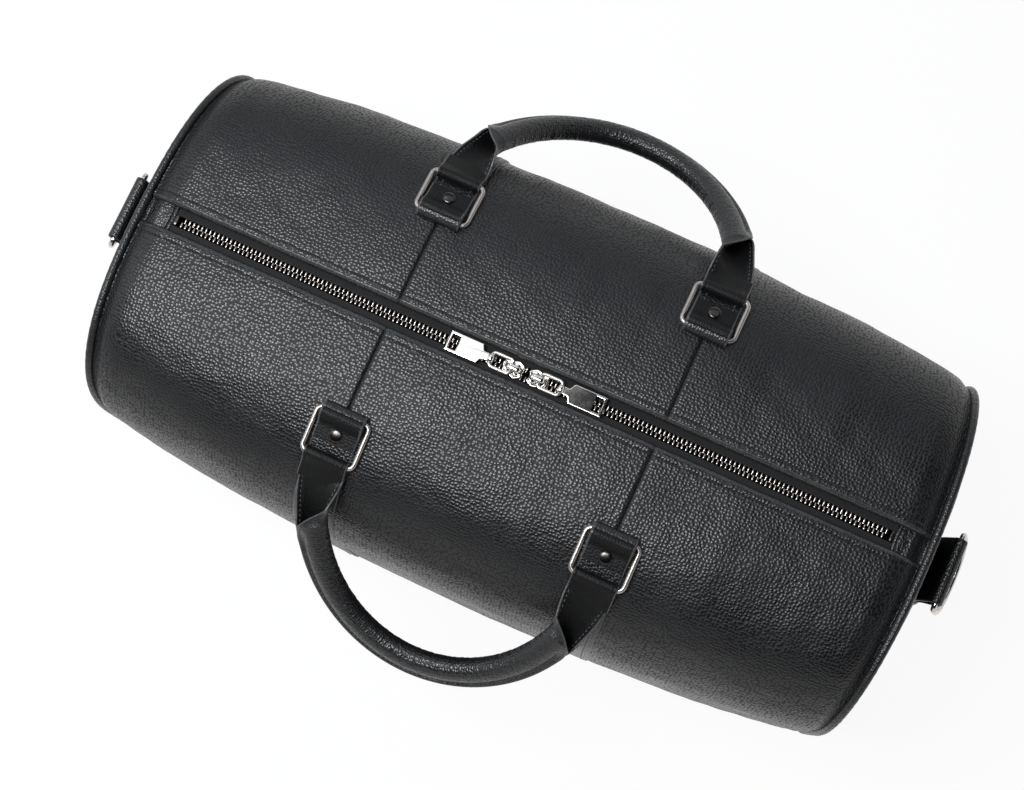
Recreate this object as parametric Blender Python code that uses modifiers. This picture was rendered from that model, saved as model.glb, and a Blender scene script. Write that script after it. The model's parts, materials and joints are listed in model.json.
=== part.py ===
"""A leather travel bag, modelled as the pieces that it is cut, sewn and riveted from.

Lengths are metres and +Z is up. X runs along the bag, the front faces -Y, and the four
feet stand on Z = 0 with the origin in the middle between them.
"""
import math

import bmesh
import bpy
import numpy as np
from mathutils import Matrix, Vector

# Body of the bag
BODY_LENGTH = 0.500
BODY_WIDTH = 0.257
END_WIDTH = 0.226
ZIP_HEIGHT = 0.237
BASE_HEIGHT = 0.007
WIDEST_HEIGHT = 0.125
BASE_SEAM_HEIGHT = 0.042
RIM_DROP = 0.0038
WIDTH_POWER = 2.6
RIM_BOW = 0.0080
GROOVE_DEPTH = 0.0024
GROOVE_WIDTH = 0.009
END_BULGE = 0.011
TOP_ROUNDNESS = 3.3
BASE_ROUNDNESS = 9.0
BASE_END_ROUNDNESS = 5.0
BULGE_POWER = 2.2
BULGE_ROUNDNESS = 0.6

# Leather, cord and clearance
LEATHER = 0.0018
GAP = 0.0003
SEAM_GAP = 0.0010
PIPING_RADIUS = 0.0025
PIPING_SINK = 0.0012
LINING = 0.0010
LINING_INSET = 0.0048
BOARD_THICKNESS = 0.0025
BOARD_END_MARGIN = 0.045
BOARD_SIDE_MARGIN = 0.0585
BOARD_CORNER = 0.020

# Zip
ZIP_END_MARGIN = 0.0235
ZIP_OPENING = 0.0170
HEM_DEPTH = 0.009
HEM_GAP = 0.0004
TAPE_THICKNESS = 0.0006
TOOTH_PITCH = 0.0027
TOOTH_LENGTH = 0.0010
TOOTH_REACH = 0.00035
TOOTH_ROOT = 0.0033
TOOTH_HEIGHT = 0.0022
TOOTH_TIP_SHARE = 0.8
CORD_WIDTH = 0.0008
TOOTH_PHASE_SHARE = 0.25
PARTING = 0.0014
PARTING_PAST_SLIDER = 0.0019
PARTING_EASE = 0.0038
STOP_LENGTH = 0.0028
STOP_HEIGHT = 0.0028
PATCH_THICKNESS = 0.0014
PATCH_FOLD_RADIUS = 0.0011
PATCH_SINK = 0.0036

# Slider, its wire link and its pull plate
SLIDER_LENGTH = 0.0130
SLIDER_NOSE_GAP = 0.0020
SLIDER_WALL = 0.0009
SLIDER_PLATE = 0.0010
SLIDER_RUN = 0.0004
SLIDER_TAPE_SLOT = 0.0013
SLIDER_THROAT = 0.0051
SLIDER_TAIL_SHARE = 0.16
SLIDER_NOSE_SHARE = 0.14
SLIDER_CHAMFER_SHARE = 1.4
POST_LENGTH = 0.0032
POST_WIDTH = 0.0014
POST_SINK_SHARE = 0.3
POST_WIDEST_SHARE = 0.4
BAIL_LENGTH = 0.0078
BAIL_WIDTH = 0.0026
BAIL_WALL = 0.0012
LINK_WIRE_RADIUS = 0.0009
LINK_LENGTH = 0.0130
LINK_WIDTH = 0.0080
LINK_CORNER = 0.0022
PULL_LENGTH = 0.0270
PULL_WIDTH = 0.0120
PULL_THICKNESS = 0.0014
PULL_TONGUE_WIDTH = 0.0046
PULL_TONGUE_LENGTH = 0.0050
PULL_SHOULDER = 0.0018
PULL_WINDOW_LENGTH = 0.0050
PULL_WINDOW_WIDTH = 0.0090
PULL_WINDOW_INSET = 0.0016
PULL_KNUCKLE_RADIUS = 0.0020
PULL_START_SHARE = 0.5

# Ring stations
STATION_X = 0.084
STRAP_WIDTH = 0.026
STRAP = 0.0018
LAYER_GAP = 0.0003
RUN_GAP = 0.0004
RING_INNER_Y = 0.0640
RING_WIRE_RADIUS = 0.0016
RING_SIDE_GAP = 0.00165
RING_LENGTH = 0.0270
RING_CORNER = 0.0030
FLAP_LENGTH = 0.0175
FLAP_SETTLE = 0.0065
RIVET_FROM_BAR = 0.0122
RIVET_RADIUS = 0.0040
RIVET_HEIGHT = 0.0018
RIVET_SHANK_RADIUS = 0.0014

# Handles
HANDLE_BAND = 0.0015
HANDLE_REACH = 0.103
HANDLE_ROLL_RADIUS = 0.0070
HANDLE_FLANGE = 0.0042
HANDLE_END_FLAP = 0.0155
HANDLE_SETTLE = 0.0075
HANDLE_SAG = math.radians(8)
SAG_START = 0.026
POCKET_START = 0.017
POCKET_END = 0.050

# End tabs and D-rings
TAB_WIDTH = 0.040
TAB_SEWN_LENGTH = 0.028
TAB_SEWN_BELOW_BAR = 0.023
D_BAR_BELOW_ZIP = 0.038
D_BAR_STANDOFF = 0.0185
D_WIRE_RADIUS = 0.0017
D_SIDE_GAP = 0.0018
D_DROP = 0.030
D_CORNER = 0.0032
D_LEAN = math.radians(17)
D_BOW_POWER = 0.8

# Feet
FOOT_FROM_END = 0.015
FOOT_FROM_SIDE = 0.012
FOOT_RADIUS = 0.0070
FOOT_SHANK_RADIUS = 0.0020
FOOT_RIVET_RADIUS = 0.0040
FOOT_RIVET_HEIGHT = 0.0010

# How finely the curved pieces are cut
CUT_OVERRUN = 0.004
ROLL_EDGES = 8
PIPING_POINTS = 34
SMOOTH_ANGLE = math.radians(40)
MERGE = 0.00001

END_X = BODY_LENGTH / 2
PIPING_X = END_X - PIPING_RADIUS
PANEL_END_X = END_X - 2 * PIPING_RADIUS - GAP
ZIP_LENGTH = BODY_LENGTH - 2 * ZIP_END_MARGIN
ZIP_END_X = ZIP_LENGTH / 2
HEM_RADIUS = LEATHER + HEM_GAP / 2
TAPE_HEIGHT = ZIP_HEIGHT - 2 * HEM_RADIUS - GAP - TAPE_THICKNESS / 2
SLIDER_SPACING = SLIDER_LENGTH + SLIDER_NOSE_GAP
PARTING_END = SLIDER_SPACING / 2 + PARTING_PAST_SLIDER
BOARD_LENGTH = BODY_LENGTH - 2 * BOARD_END_MARGIN
BOARD_WIDTH = BODY_WIDTH - 2 * BOARD_SIDE_MARGIN
FOOT_X = BOARD_LENGTH / 2 - FOOT_FROM_END
FOOT_Y = BOARD_WIDTH / 2 - FOOT_FROM_SIDE
RING_WIDTH = STRAP_WIDTH + 2 * (RING_SIDE_GAP + RING_WIRE_RADIUS)
D_WIDTH = TAB_WIDTH + 2 * (D_SIDE_GAP + D_WIRE_RADIUS)
D_BAR_HEIGHT = ZIP_HEIGHT - D_BAR_BELOW_ZIP
TAB_SEWN_HEIGHT = D_BAR_HEIGHT - TAB_SEWN_BELOW_BAR
TAB_BOTTOM_HEIGHT = TAB_SEWN_HEIGHT - TAB_SEWN_LENGTH

# The stations along the bag at which a side panel's section is worked out
CENTRE_STATIONS = [-STATION_X + GAP / 2, -STATION_X / 2, 0.0, STATION_X / 2, STATION_X - GAP / 2]
SIDE_SHARES = [0.0, 0.35, 0.7, 1.0]
RIM_SHARES = [0.4, 0.72, 1.0]
TOP_ANGLE_SHARES = [0.0, 0.26, 0.42, 0.56, 0.70, 0.84, 1.0]
LOW_ANGLE_SHARES = [0.35, 0.62, 0.82, 0.94]
BASE_ROUND_SHARES = [0.0, 0.4, 0.7, 0.88]
BASE_FLAT_SHARES = [0.74, 0.5, 0.0, -0.5, -0.74]

# Where the other lofted pieces have their sections, and the turned pieces their profiles
DOME_SHARES = [1.0, 0.97, 0.86, 0.66, 0.36]
LINING_SHARES = [-1.0, -0.5, 0.0, 0.5, 1.0]
PATCH_SHARES = [0.0, 0.12, 0.35, 0.6, 0.8, 1.0]
PARTING_SHARES = [1.0, 0.6842, 0.3684, 0.0]
POCKET_SHARES = [0.25, 0.5, 0.75, 1.0]
TAB_SHARES = [0.0, 0.33, 0.66, 1.0]
FOOT_SHARES = [(1.0, 1.0), (1.0, 0.72), (0.86, 0.28), (0.6, 0.0)]
FOOT_RIVET_FLAT_SHARE = 0.6
RIVET_SHARES = [(0.45, 0.9), (0.8, 0.55)]

FINISHES = {
    "leather": ((0.020, 0.021, 0.023), 0.45, 0.0),
    "strap_leather": ((0.014, 0.014, 0.015), 0.40, 0.0),
    "tape": ((0.010, 0.010, 0.011), 0.85, 0.0),
    "lining": ((0.030, 0.030, 0.034), 0.80, 0.0),
    "board": ((0.060, 0.055, 0.050), 0.90, 0.0),
    "core": ((0.080, 0.078, 0.072), 0.90, 0.0),
    "nickel": ((0.62, 0.60, 0.58), 0.18, 1.0),
    "gunmetal": ((0.30, 0.28, 0.27), 0.25, 1.0),
}


def start_scene():
    """Empty the scene and make the parts and cutters collections."""
    for thing in list(bpy.data.objects):
        bpy.data.objects.remove(thing, do_unlink=True)
    parts = bpy.data.collections.new("travel_bag")
    cutters = bpy.data.collections.new("cutters")
    bpy.context.scene.collection.children.link(parts)
    bpy.context.scene.collection.children.link(cutters)
    return parts, cutters


def make_material(node, finish):
    """A Principled material for one piece, with the colour of its finish."""
    colour, roughness, metallic = FINISHES[finish]
    material = bpy.data.materials.new(node)
    material.use_nodes = True
    shader = material.node_tree.nodes["Principled BSDF"]
    shader.inputs["Base Color"].default_value = (*colour, 1.0)
    shader.inputs["Roughness"].default_value = roughness
    shader.inputs["Metallic"].default_value = metallic
    material.diffuse_color = (*colour, 1.0)
    return material


def finish_object(piece, finish, origin=(0.0, 0.0, 0.0)):
    """Give a mesh object its material, outward faces, smooth shading and its origin."""
    mesh = piece.data
    shell = bmesh.new()
    shell.from_mesh(mesh)
    bmesh.ops.recalc_face_normals(shell, faces=shell.faces)
    shell.to_mesh(mesh)
    shell.free()
    mesh.materials.clear()
    mesh.materials.append(make_material(piece.name, finish))
    mesh.shade_smooth()
    mesh.set_sharp_from_angle(angle=SMOOTH_ANGLE)
    shift = Vector(origin)
    mesh.transform(Matrix.Translation(-shift))
    piece.location = shift
    return piece


def mesh_object(name, vertices, faces, finish, origin=(0.0, 0.0, 0.0), group=None):
    """Make an object from worked-out points and the faces between them."""
    mesh = bpy.data.meshes.new(name)
    mesh.from_pydata([tuple(map(float, point)) for point in vertices], [], faces)
    piece = bpy.data.objects.new(name, mesh)
    (group or PARTS).objects.link(piece)
    return finish_object(piece, finish, origin)


def loft_faces(rings, points, closed=False):
    """Quads between successive rings of points, and a face on each open end."""
    faces = []
    for ring in range(rings if closed else rings - 1):
        low = ring * points
        high = (ring + 1) % rings * points
        for point in range(points):
            beside = (point + 1) % points
            faces.append((low + point, low + beside, high + beside, high + point))
    if not closed:
        faces.append(tuple(reversed(range(points))))
        faces.append(tuple((rings - 1) * points + point for point in range(points)))
    return faces


def loft(name, sections, finish, origin=(0.0, 0.0, 0.0), closed=False):
    """A solid through sections that all have the same number of points."""
    vertices = np.vstack(sections)
    return mesh_object(name, vertices, loft_faces(len(sections), len(sections[0]), closed), finish, origin)


def mitre_normals(path):
    """Unit-offset vectors to the left of a 2-D path, lengthened at its bends."""
    path = np.asarray(path, float)
    steps = np.diff(path, axis=0)
    steps /= np.linalg.norm(steps, axis=1)[:, None]
    left = np.column_stack([-steps[:, 1], steps[:, 0]])
    before = np.vstack([left[:1], left])
    after = np.vstack([left, left[-1:]])
    mean = before + after
    return mean / (1.0 + np.einsum("ij,ij->i", before, after))[:, None]


def strip_outline(path, left, right):
    """The closed outline of a strip that reaches left and right of a 2-D path."""
    path = np.asarray(path, float)
    normals = mitre_normals(path)
    return np.vstack([path + normals * left, (path - normals * right)[::-1]])


def smooth(share):
    """A step that eases from 0 to 1."""
    share = min(max(share, 0.0), 1.0)
    return share * share * (3.0 - 2.0 * share)


def half_width(x):
    """Half the body's width at a station, widest at mid length."""
    return END_WIDTH / 2 + (BODY_WIDTH - END_WIDTH) / 2 * (1.0 - (abs(x) / END_X) ** WIDTH_POWER)


def base_roundness(x):
    """The lower half's exponent: boxy over the base board, rounder towards the ends."""
    return BASE_ROUNDNESS + (BASE_END_ROUNDNESS - BASE_ROUNDNESS) * (x / END_X) ** 2


def inset_at(x):
    """How far the leather is drawn in beside the end seam."""
    return GROOVE_DEPTH * smooth((abs(x) - PANEL_END_X + GROOVE_WIDTH) / GROOVE_WIDTH)


def top_height(x):
    """Height of the top line, level along the zip and lower at the rims."""
    return ZIP_HEIGHT - RIM_DROP * smooth((abs(x) - ZIP_END_X) / (PANEL_END_X - ZIP_END_X))


def body_point(x, angle, inset=0.0):
    """A (y, z) point of the back half of the body's section: angle 0 is the top, pi the base."""
    reach = half_width(x) - inset
    if angle <= math.pi / 2:
        power = 2.0 / TOP_ROUNDNESS
        rise = top_height(x) - inset - WIDEST_HEIGHT
    else:
        power = 2.0 / base_roundness(x)
        rise = WIDEST_HEIGHT - BASE_HEIGHT - inset
    across = reach * max(math.sin(angle), 0.0) ** power
    up = math.copysign(abs(math.cos(angle)) ** power, math.cos(angle))
    return across, WIDEST_HEIGHT + rise * up


def angle_at_width(x, across):
    """The angle on the top quarter where the section is so far from the middle."""
    return math.asin((across / (half_width(x) - inset_at(x))) ** (TOP_ROUNDNESS / 2))


def angle_at_height(x, height):
    """The angle on the lower quarter where the section is at this height."""
    share = (WIDEST_HEIGHT - height) / (WIDEST_HEIGHT - BASE_HEIGHT - inset_at(x))
    return math.pi - math.acos(share ** (base_roundness(x) / 2))


def side_angles(x):
    """Angles of a side panel's section, from the zip's hem down to the base seam."""
    first = angle_at_width(x, ZIP_OPENING / 2 + HEM_RADIUS)
    last = angle_at_height(x, BASE_SEAM_HEIGHT + SEAM_GAP / 2)
    middle = math.pi / 2
    upper = [first + share * (middle - first) for share in TOP_ANGLE_SHARES]
    lower = [middle + share * (last - middle) for share in LOW_ANGLE_SHARES]
    return upper + lower + [last]


def side_surface(x):
    """The outer face of a side panel's section as a polyline of (y, z) points."""
    return np.array([body_point(x, angle, inset_at(x)) for angle in side_angles(x)])


def hem_path(x):
    """The turned hem at the zip: under layer, then the fold, up to the top layer."""
    edge = ZIP_OPENING / 2
    top = side_surface(x)[0][1]
    centre = (edge + HEM_RADIUS, top - HEM_RADIUS)
    path = [(edge + HEM_DEPTH, top - 2 * HEM_RADIUS), (edge + HEM_RADIUS, top - 2 * HEM_RADIUS)]
    for turn in (225, 180, 135):
        angle = math.radians(turn)
        path.append((centre[0] + HEM_RADIUS * math.cos(angle), centre[1] + HEM_RADIUS * math.sin(angle)))
    return np.array(path)


def bowed(x, across):
    """A station's x with the rim's bow: the ends stand out in the middle and fall back at the sides."""
    draw = RIM_BOW * (abs(x) / END_X) ** 3 * (np.asarray(across) / (END_WIDTH / 2)) ** 2
    return x - math.copysign(1.0, x) * draw


def at_x(x, outline, side=1):
    """Stand a (y, z) outline up at a station, on the back (1) or the front (-1) side."""
    outline = np.asarray(outline)
    return np.column_stack([bowed(x, outline[:, 0]), side * outline[:, 0], outline[:, 1]])


def side_panel(name, side, stations):
    """One leather panel of a side, with its turned hem at the zip."""
    sections = []
    for x in stations:
        path = np.vstack([hem_path(x), side_surface(x)])
        sections.append(at_x(x, strip_outline(path, 0.0, LEATHER), side))
    return loft(name, sections, "leather")


def end_stations(sign):
    """Stations of a left or right panel, closer together where the rim drops."""
    start = STATION_X + GAP / 2
    plain = [start + share * (ZIP_END_X - start) for share in SIDE_SHARES]
    span = PANEL_END_X - ZIP_END_X
    rim = [ZIP_END_X + share * span for share in RIM_SHARES]
    return [sign * x for x in plain + rim]


def make_side_panels():
    """The six panels of the two sides."""
    for side, word in ((-1, "front"), (1, "back")):
        side_panel(f"{word}_centre_panel", side, CENTRE_STATIONS)
        side_panel(f"{word}_left_panel", side, end_stations(-1))
        side_panel(f"{word}_right_panel", side, end_stations(1))


def base_path(x):
    """The base leather's outer face from the front seam, under the bag, to the back seam."""
    seam = angle_at_height(x, BASE_SEAM_HEIGHT - SEAM_GAP / 2)
    power = base_roundness(x)
    knee = math.pi - math.asin(max(BASE_FLAT_SHARES) ** (power / 2))
    rounds = [body_point(x, seam + share * (knee - seam), inset_at(x)) for share in BASE_ROUND_SHARES]
    reach = half_width(x) - inset_at(x)
    drop = WIDEST_HEIGHT - BASE_HEIGHT - inset_at(x)
    flat = []
    for share in BASE_FLAT_SHARES:
        height = WIDEST_HEIGHT - drop * (1.0 - abs(share) ** power) ** (1.0 / power)
        flat.append((reach * share, height))
    return np.array(rounds + flat + [(-y, z) for y, z in reversed(rounds)])


def make_base_panel():
    """The leather under the bag, turned up to the side seams."""
    right = end_stations(1)
    stations = [-x for x in reversed(right)] + [0.0] + right
    sections = [at_x(x, strip_outline(base_path(x), 0.0, LEATHER)) for x in stations]
    panel = loft("base_panel", sections, "leather")
    cut_foot_holes(panel)


def end_outline(x, inset, count):
    """The closed outline of an end, as (y, z) points set in from the body's section."""
    points = []
    for step in range(count):
        turn = 2 * math.pi * step / count
        across, height = body_point(x, turn if turn <= math.pi else 2 * math.pi - turn, inset)
        points.append((across if turn <= math.pi else -across, height))
    return np.array(points)


def even_outline(x, inset, count):
    """The same outline with its points spaced evenly along it."""
    fine = end_outline(x, inset, 8 * count)
    fine = np.vstack([fine, fine[:1]])
    along = np.concatenate([[0.0], np.cumsum(np.linalg.norm(np.diff(fine, axis=0), axis=1))])
    wanted = np.linspace(0.0, along[-1], count, endpoint=False)
    return np.column_stack([np.interp(wanted, along, fine[:, axis]) for axis in (0, 1)])


def bulge_at(share):
    """How far the end panel stands out, by the share of the way from its middle to its edge."""
    return END_BULGE * (1.0 - min(share, 1.0) ** BULGE_POWER) ** BULGE_ROUNDNESS


def end_share(y, z):
    """How far out a point of the end panel lies, from 0 in the middle to 1 at its edge."""
    inset = PIPING_SINK + PIPING_RADIUS + GAP
    reach = half_width(PIPING_X) - inset
    if z >= WIDEST_HEIGHT:
        power = TOP_ROUNDNESS
        rise = top_height(PIPING_X) - inset - WIDEST_HEIGHT
    else:
        power = BASE_END_ROUNDNESS
        rise = WIDEST_HEIGHT - BASE_HEIGHT - inset
    return ((abs(y) / reach) ** power + (abs(z - WIDEST_HEIGHT) / rise) ** power) ** (1.0 / power)


def make_end_panel(name, sign):
    """A bulged end panel: an open dome of leather, thickened inwards."""
    inset = PIPING_SINK + PIPING_RADIUS + GAP
    edge = even_outline(PIPING_X, inset, PIPING_POINTS)
    middle = np.array([0.0, WIDEST_HEIGHT])
    vertices = []
    for share in DOME_SHARES:
        ring = middle + share * (edge - middle)
        x = bowed(sign * PIPING_X, ring[:, 0]) + sign * bulge_at(share)
        vertices.append(np.column_stack([x, ring]))
    vertices.append(np.array([[sign * (PIPING_X + END_BULGE), *middle]]))
    count = PIPING_POINTS
    faces = [face for face in loft_faces(len(DOME_SHARES), count) if len(face) == 4]
    last = (len(DOME_SHARES) - 1) * count
    tip = len(DOME_SHARES) * count
    faces += [(last + point, last + (point + 1) % count, tip) for point in range(count)]
    if sign < 0:
        faces = [tuple(reversed(face)) for face in faces]
    mesh = bpy.data.meshes.new(name)
    mesh.from_pydata(np.vstack(vertices).tolist(), [], [tuple(reversed(face)) for face in faces])
    piece = bpy.data.objects.new(name, mesh)
    PARTS.objects.link(piece)
    mesh.materials.append(make_material(name, "leather"))
    mesh.shade_smooth()
    wall = piece.modifiers.new("wall", "SOLIDIFY")
    wall.thickness = LEATHER
    wall.offset = -1.0
    return piece


def tube(name, points, radius, finish, closed=False, resolution=2, origin=(0.0, 0.0, 0.0)):
    """A round wire or cord along points: a curve with a bevel and filled caps, made a mesh."""
    curve = bpy.data.curves.new(name + "_path", "CURVE")
    curve.dimensions = "3D"
    curve.bevel_depth = radius
    curve.bevel_resolution = resolution
    curve.use_fill_caps = not closed
    spline = curve.splines.new("POLY")
    spline.points.add(len(points) - 1)
    spline.use_cyclic_u = closed
    for knot, point in zip(spline.points, points):
        knot.co = (*map(float, point), 1.0)
    guide = bpy.data.objects.new(name + "_path", curve)
    CUTTERS.objects.link(guide)
    piece = bpy.data.objects.new(name, evaluated_mesh(guide, name))
    PARTS.objects.link(piece)
    bpy.data.objects.remove(guide, do_unlink=True)
    return finish_object(piece, finish, origin)


def evaluated_mesh(source, name):
    """The closed mesh of a curve or of an object with modifiers."""
    bpy.context.view_layer.update()
    graph = bpy.context.evaluated_depsgraph_get()
    mesh = bpy.data.meshes.new_from_object(source.evaluated_get(graph), depsgraph=graph)
    mesh.name = name
    shell = bmesh.new()
    shell.from_mesh(mesh)
    bmesh.ops.remove_doubles(shell, verts=shell.verts, dist=MERGE)
    bmesh.ops.recalc_face_normals(shell, faces=shell.faces)
    shell.to_mesh(mesh)
    shell.free()
    return mesh


def cylinder_cutter(name, radius, low, high, sides=12):
    """A cutter from one point to another, with its faces outwards."""
    low = Vector(low)
    high = Vector(high)
    shape = bmesh.new()
    bmesh.ops.create_cone(
        shape, cap_ends=True, segments=sides, radius1=radius, radius2=radius, depth=(high - low).length
    )
    turn = (high - low).to_track_quat("Z", "Y").to_matrix().to_4x4()
    bmesh.ops.transform(shape, matrix=Matrix.Translation((low + high) / 2) @ turn, verts=shape.verts)
    return shape_object(name, shape, CUTTERS)


def shape_object(name, shape, group):
    """Put a bmesh in an object of its own."""
    mesh = bpy.data.meshes.new(name)
    shape.to_mesh(mesh)
    shape.free()
    piece = bpy.data.objects.new(name, mesh)
    group.objects.link(piece)
    if group is CUTTERS:
        piece.hide_render = True
        piece.display_type = "WIRE"
    return piece


def combine(target, other, operation):
    """Add or cut another closed shape with an exact Boolean that stays on its object."""
    boolean = target.modifiers.new(operation.lower(), "BOOLEAN")
    boolean.operation = operation
    boolean.solver = "EXACT"
    boolean.object = other


def slab(name, outline, low, high, group):
    """A flat piece from a (x, y) outline, a filled 2-D curve extruded to its thickness."""
    curve = bpy.data.curves.new(name + "_outline", "CURVE")
    curve.dimensions = "2D"
    curve.fill_mode = "BOTH"
    curve.extrude = (high - low) / 2
    for loop in outline:
        spline = curve.splines.new("POLY")
        spline.points.add(len(loop) - 1)
        spline.use_cyclic_u = True
        for knot, (x, y) in zip(spline.points, loop):
            knot.co = (x, y, 0.0, 1.0)
    guide = bpy.data.objects.new(name + "_outline", curve)
    CUTTERS.objects.link(guide)
    mesh = evaluated_mesh(guide, name)
    mesh.transform(Matrix.Translation((0.0, 0.0, (low + high) / 2)))
    bpy.data.objects.remove(guide, do_unlink=True)
    piece = bpy.data.objects.new(name, mesh)
    group.objects.link(piece)
    if group is CUTTERS:
        piece.hide_render = True
        piece.display_type = "WIRE"
    return piece


def set_place(piece, matrix):
    """Move a piece's mesh, so that its object stays unturned and unscaled."""
    piece.data.transform(matrix)
    piece.data.update()
    return piece


def turned(name, profile, finish, place, steps=12):
    """A turned solid from (radius, height) points listed from its top down, stood at its place."""
    mesh = bpy.data.meshes.new(name)
    edges = [(knot, knot + 1) for knot in range(len(profile) - 1)]
    mesh.from_pydata([(radius, 0.0, height) for radius, height in profile], edges, [])
    guide = bpy.data.objects.new(name + "_profile", mesh)
    CUTTERS.objects.link(guide)
    screw = guide.modifiers.new("turn", "SCREW")
    screw.steps = steps
    screw.render_steps = steps
    screw.use_merge_vertices = True
    screw.merge_threshold = MERGE
    piece = bpy.data.objects.new(name, evaluated_mesh(guide, name))
    PARTS.objects.link(piece)
    bpy.data.objects.remove(guide, do_unlink=True)
    set_place(piece, place)
    return finish_object(piece, finish, place.translation)


def make_piping(name, sign):
    """The covered cord round an end seam."""
    path = even_outline(PIPING_X, PIPING_SINK, PIPING_POINTS)
    points = at_x(sign * PIPING_X, path)
    return tube(name, points, PIPING_RADIUS, "leather", closed=True, resolution=1)


def foot_places():
    """The middles of the four feet, at the floor."""
    return [(x, y) for x in (-FOOT_X, FOOT_X) for y in (-FOOT_Y, FOOT_Y)]


def cut_foot_holes(piece):
    """Holes for the four foot shanks."""
    for number, (x, y) in enumerate(foot_places()):
        cutter = cylinder_cutter(
            f"{piece.name}_hole_{number}",
            FOOT_SHANK_RADIUS + GAP,
            (x, y, 0.0),
            (x, y, BASE_HEIGHT + LEATHER + BOARD_THICKNESS + CUT_OVERRUN),
        )
        combine(piece, cutter, "DIFFERENCE")


def base_inside_height():
    """Height of the base leather's inner face under the long edges of the board, at its ends."""
    path = base_path(BOARD_LENGTH / 2)
    edge = np.interp(-BOARD_WIDTH / 2, -path[:, 0], path[:, 1])
    return float(edge) + LEATHER


def rounded_rectangle(length, width, corner, steps=3):
    """The outline of a rectangle with round corners, round the origin."""
    points = []
    for quarter in range(4):
        sign_x = 1 if quarter in (0, 3) else -1
        sign_y = 1 if quarter < 2 else -1
        for step in range(steps + 1):
            angle = math.pi / 2 * (quarter + step / steps)
            x = sign_x * (length / 2 - corner) + corner * math.cos(angle)
            y = sign_y * (width / 2 - corner) + corner * math.sin(angle)
            points.append((x, y))
    return points


def make_base_board():
    """The stiff board on the base leather."""
    low = base_inside_height() + GAP
    outline = rounded_rectangle(BOARD_LENGTH, BOARD_WIDTH, BOARD_CORNER)
    board = slab("base_board", [outline], low, low + BOARD_THICKNESS, PARTS)
    finish_object(board, "board")
    cut_foot_holes(board)


def make_feet():
    """Four domed studs, each riveted over the base board."""
    top = base_inside_height() + GAP + BOARD_THICKNESS + GAP
    flat = BASE_HEIGHT - GAP
    profile = [
        (0.0, top + FOOT_RIVET_HEIGHT),
        (FOOT_RIVET_RADIUS * FOOT_RIVET_FLAT_SHARE, top + FOOT_RIVET_HEIGHT),
        (FOOT_RIVET_RADIUS, top),
        (FOOT_SHANK_RADIUS, top),
        (FOOT_SHANK_RADIUS, flat),
    ]
    profile += [(FOOT_RADIUS * wide, flat * high) for wide, high in FOOT_SHARES]
    profile.append((0.0, 0.0))
    for x, y in foot_places():
        name = f"foot_{'front' if y < 0 else 'back'}_{'left' if x < 0 else 'right'}"
        turned(name, profile, "gunmetal", Matrix.Translation((x, y, 0.0)))


def make_lining():
    """The cloth lining: a closed-ended sack with a slot under the zip."""
    end = PIPING_X - LEATHER - 2 * GAP
    low = base_inside_height() + BOARD_THICKNESS + 2 * GAP + FOOT_RIVET_HEIGHT + GAP
    names = []
    for name, inset in (("lining", LINING_INSET), ("lining_hollow", LINING_INSET + LINING)):
        reach = end - (inset - LINING_INSET)
        sections = []
        for share in LINING_SHARES:
            x = share * reach
            depth = inset + RIM_DROP * smooth((abs(x) - ZIP_END_X) / (END_X - ZIP_END_X))
            outline = end_outline(x, depth, 28)
            floor = low + (inset - LINING_INSET)
            outline[:, 1] = np.maximum(outline[:, 1], floor)
            sections.append(at_x(x, outline))
        names.append(loft(name, sections, "lining"))
    lining, hollow = names
    PARTS.objects.unlink(hollow)
    CUTTERS.objects.link(hollow)
    hollow.hide_render = True
    hollow.display_type = "WIRE"
    combine(lining, hollow, "DIFFERENCE")
    slot = bmesh.new()
    size = (ZIP_LENGTH, ZIP_OPENING + HEM_DEPTH, 2 * CUT_OVERRUN + 4 * LINING_INSET)
    scale = Matrix.Diagonal((*size, 1.0))
    bmesh.ops.create_cube(slot, size=1.0, matrix=Matrix.Translation((0.0, 0.0, ZIP_HEIGHT)) @ scale)
    combine(lining, shape_object("lining_slot", slot, CUTTERS), "DIFFERENCE")


def row_parting(x):
    """How far each zip row stands off the middle, by the sliders that hold it open."""
    return PARTING * smooth((PARTING_END - abs(x)) / PARTING_EASE)


def make_tapes():
    """The two woven tapes, each sewn under a hem."""
    inner = TOOTH_ROOT + GAP
    outer = ZIP_OPENING / 2 + HEM_DEPTH
    reach = ZIP_END_X - GAP
    bends = [0.0] + [PARTING_END - share * PARTING_EASE for share in PARTING_SHARES]
    stations = [-reach] + [-x for x in reversed(bends[1:])] + bends + [reach]
    for side, word in ((-1, "front"), (1, "back")):
        sections = []
        for x in stations:
            near = inner + row_parting(max(abs(x) - TOOTH_PITCH / 2, 0.0))
            low = TAPE_HEIGHT - TAPE_THICKNESS / 2
            high = TAPE_HEIGHT + TAPE_THICKNESS / 2
            sections.append(at_x(x, [(near, low), (outer, low), (outer, high), (near, high)], side))
        loft(f"zip_tape_{word}", sections, "tape")


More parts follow.
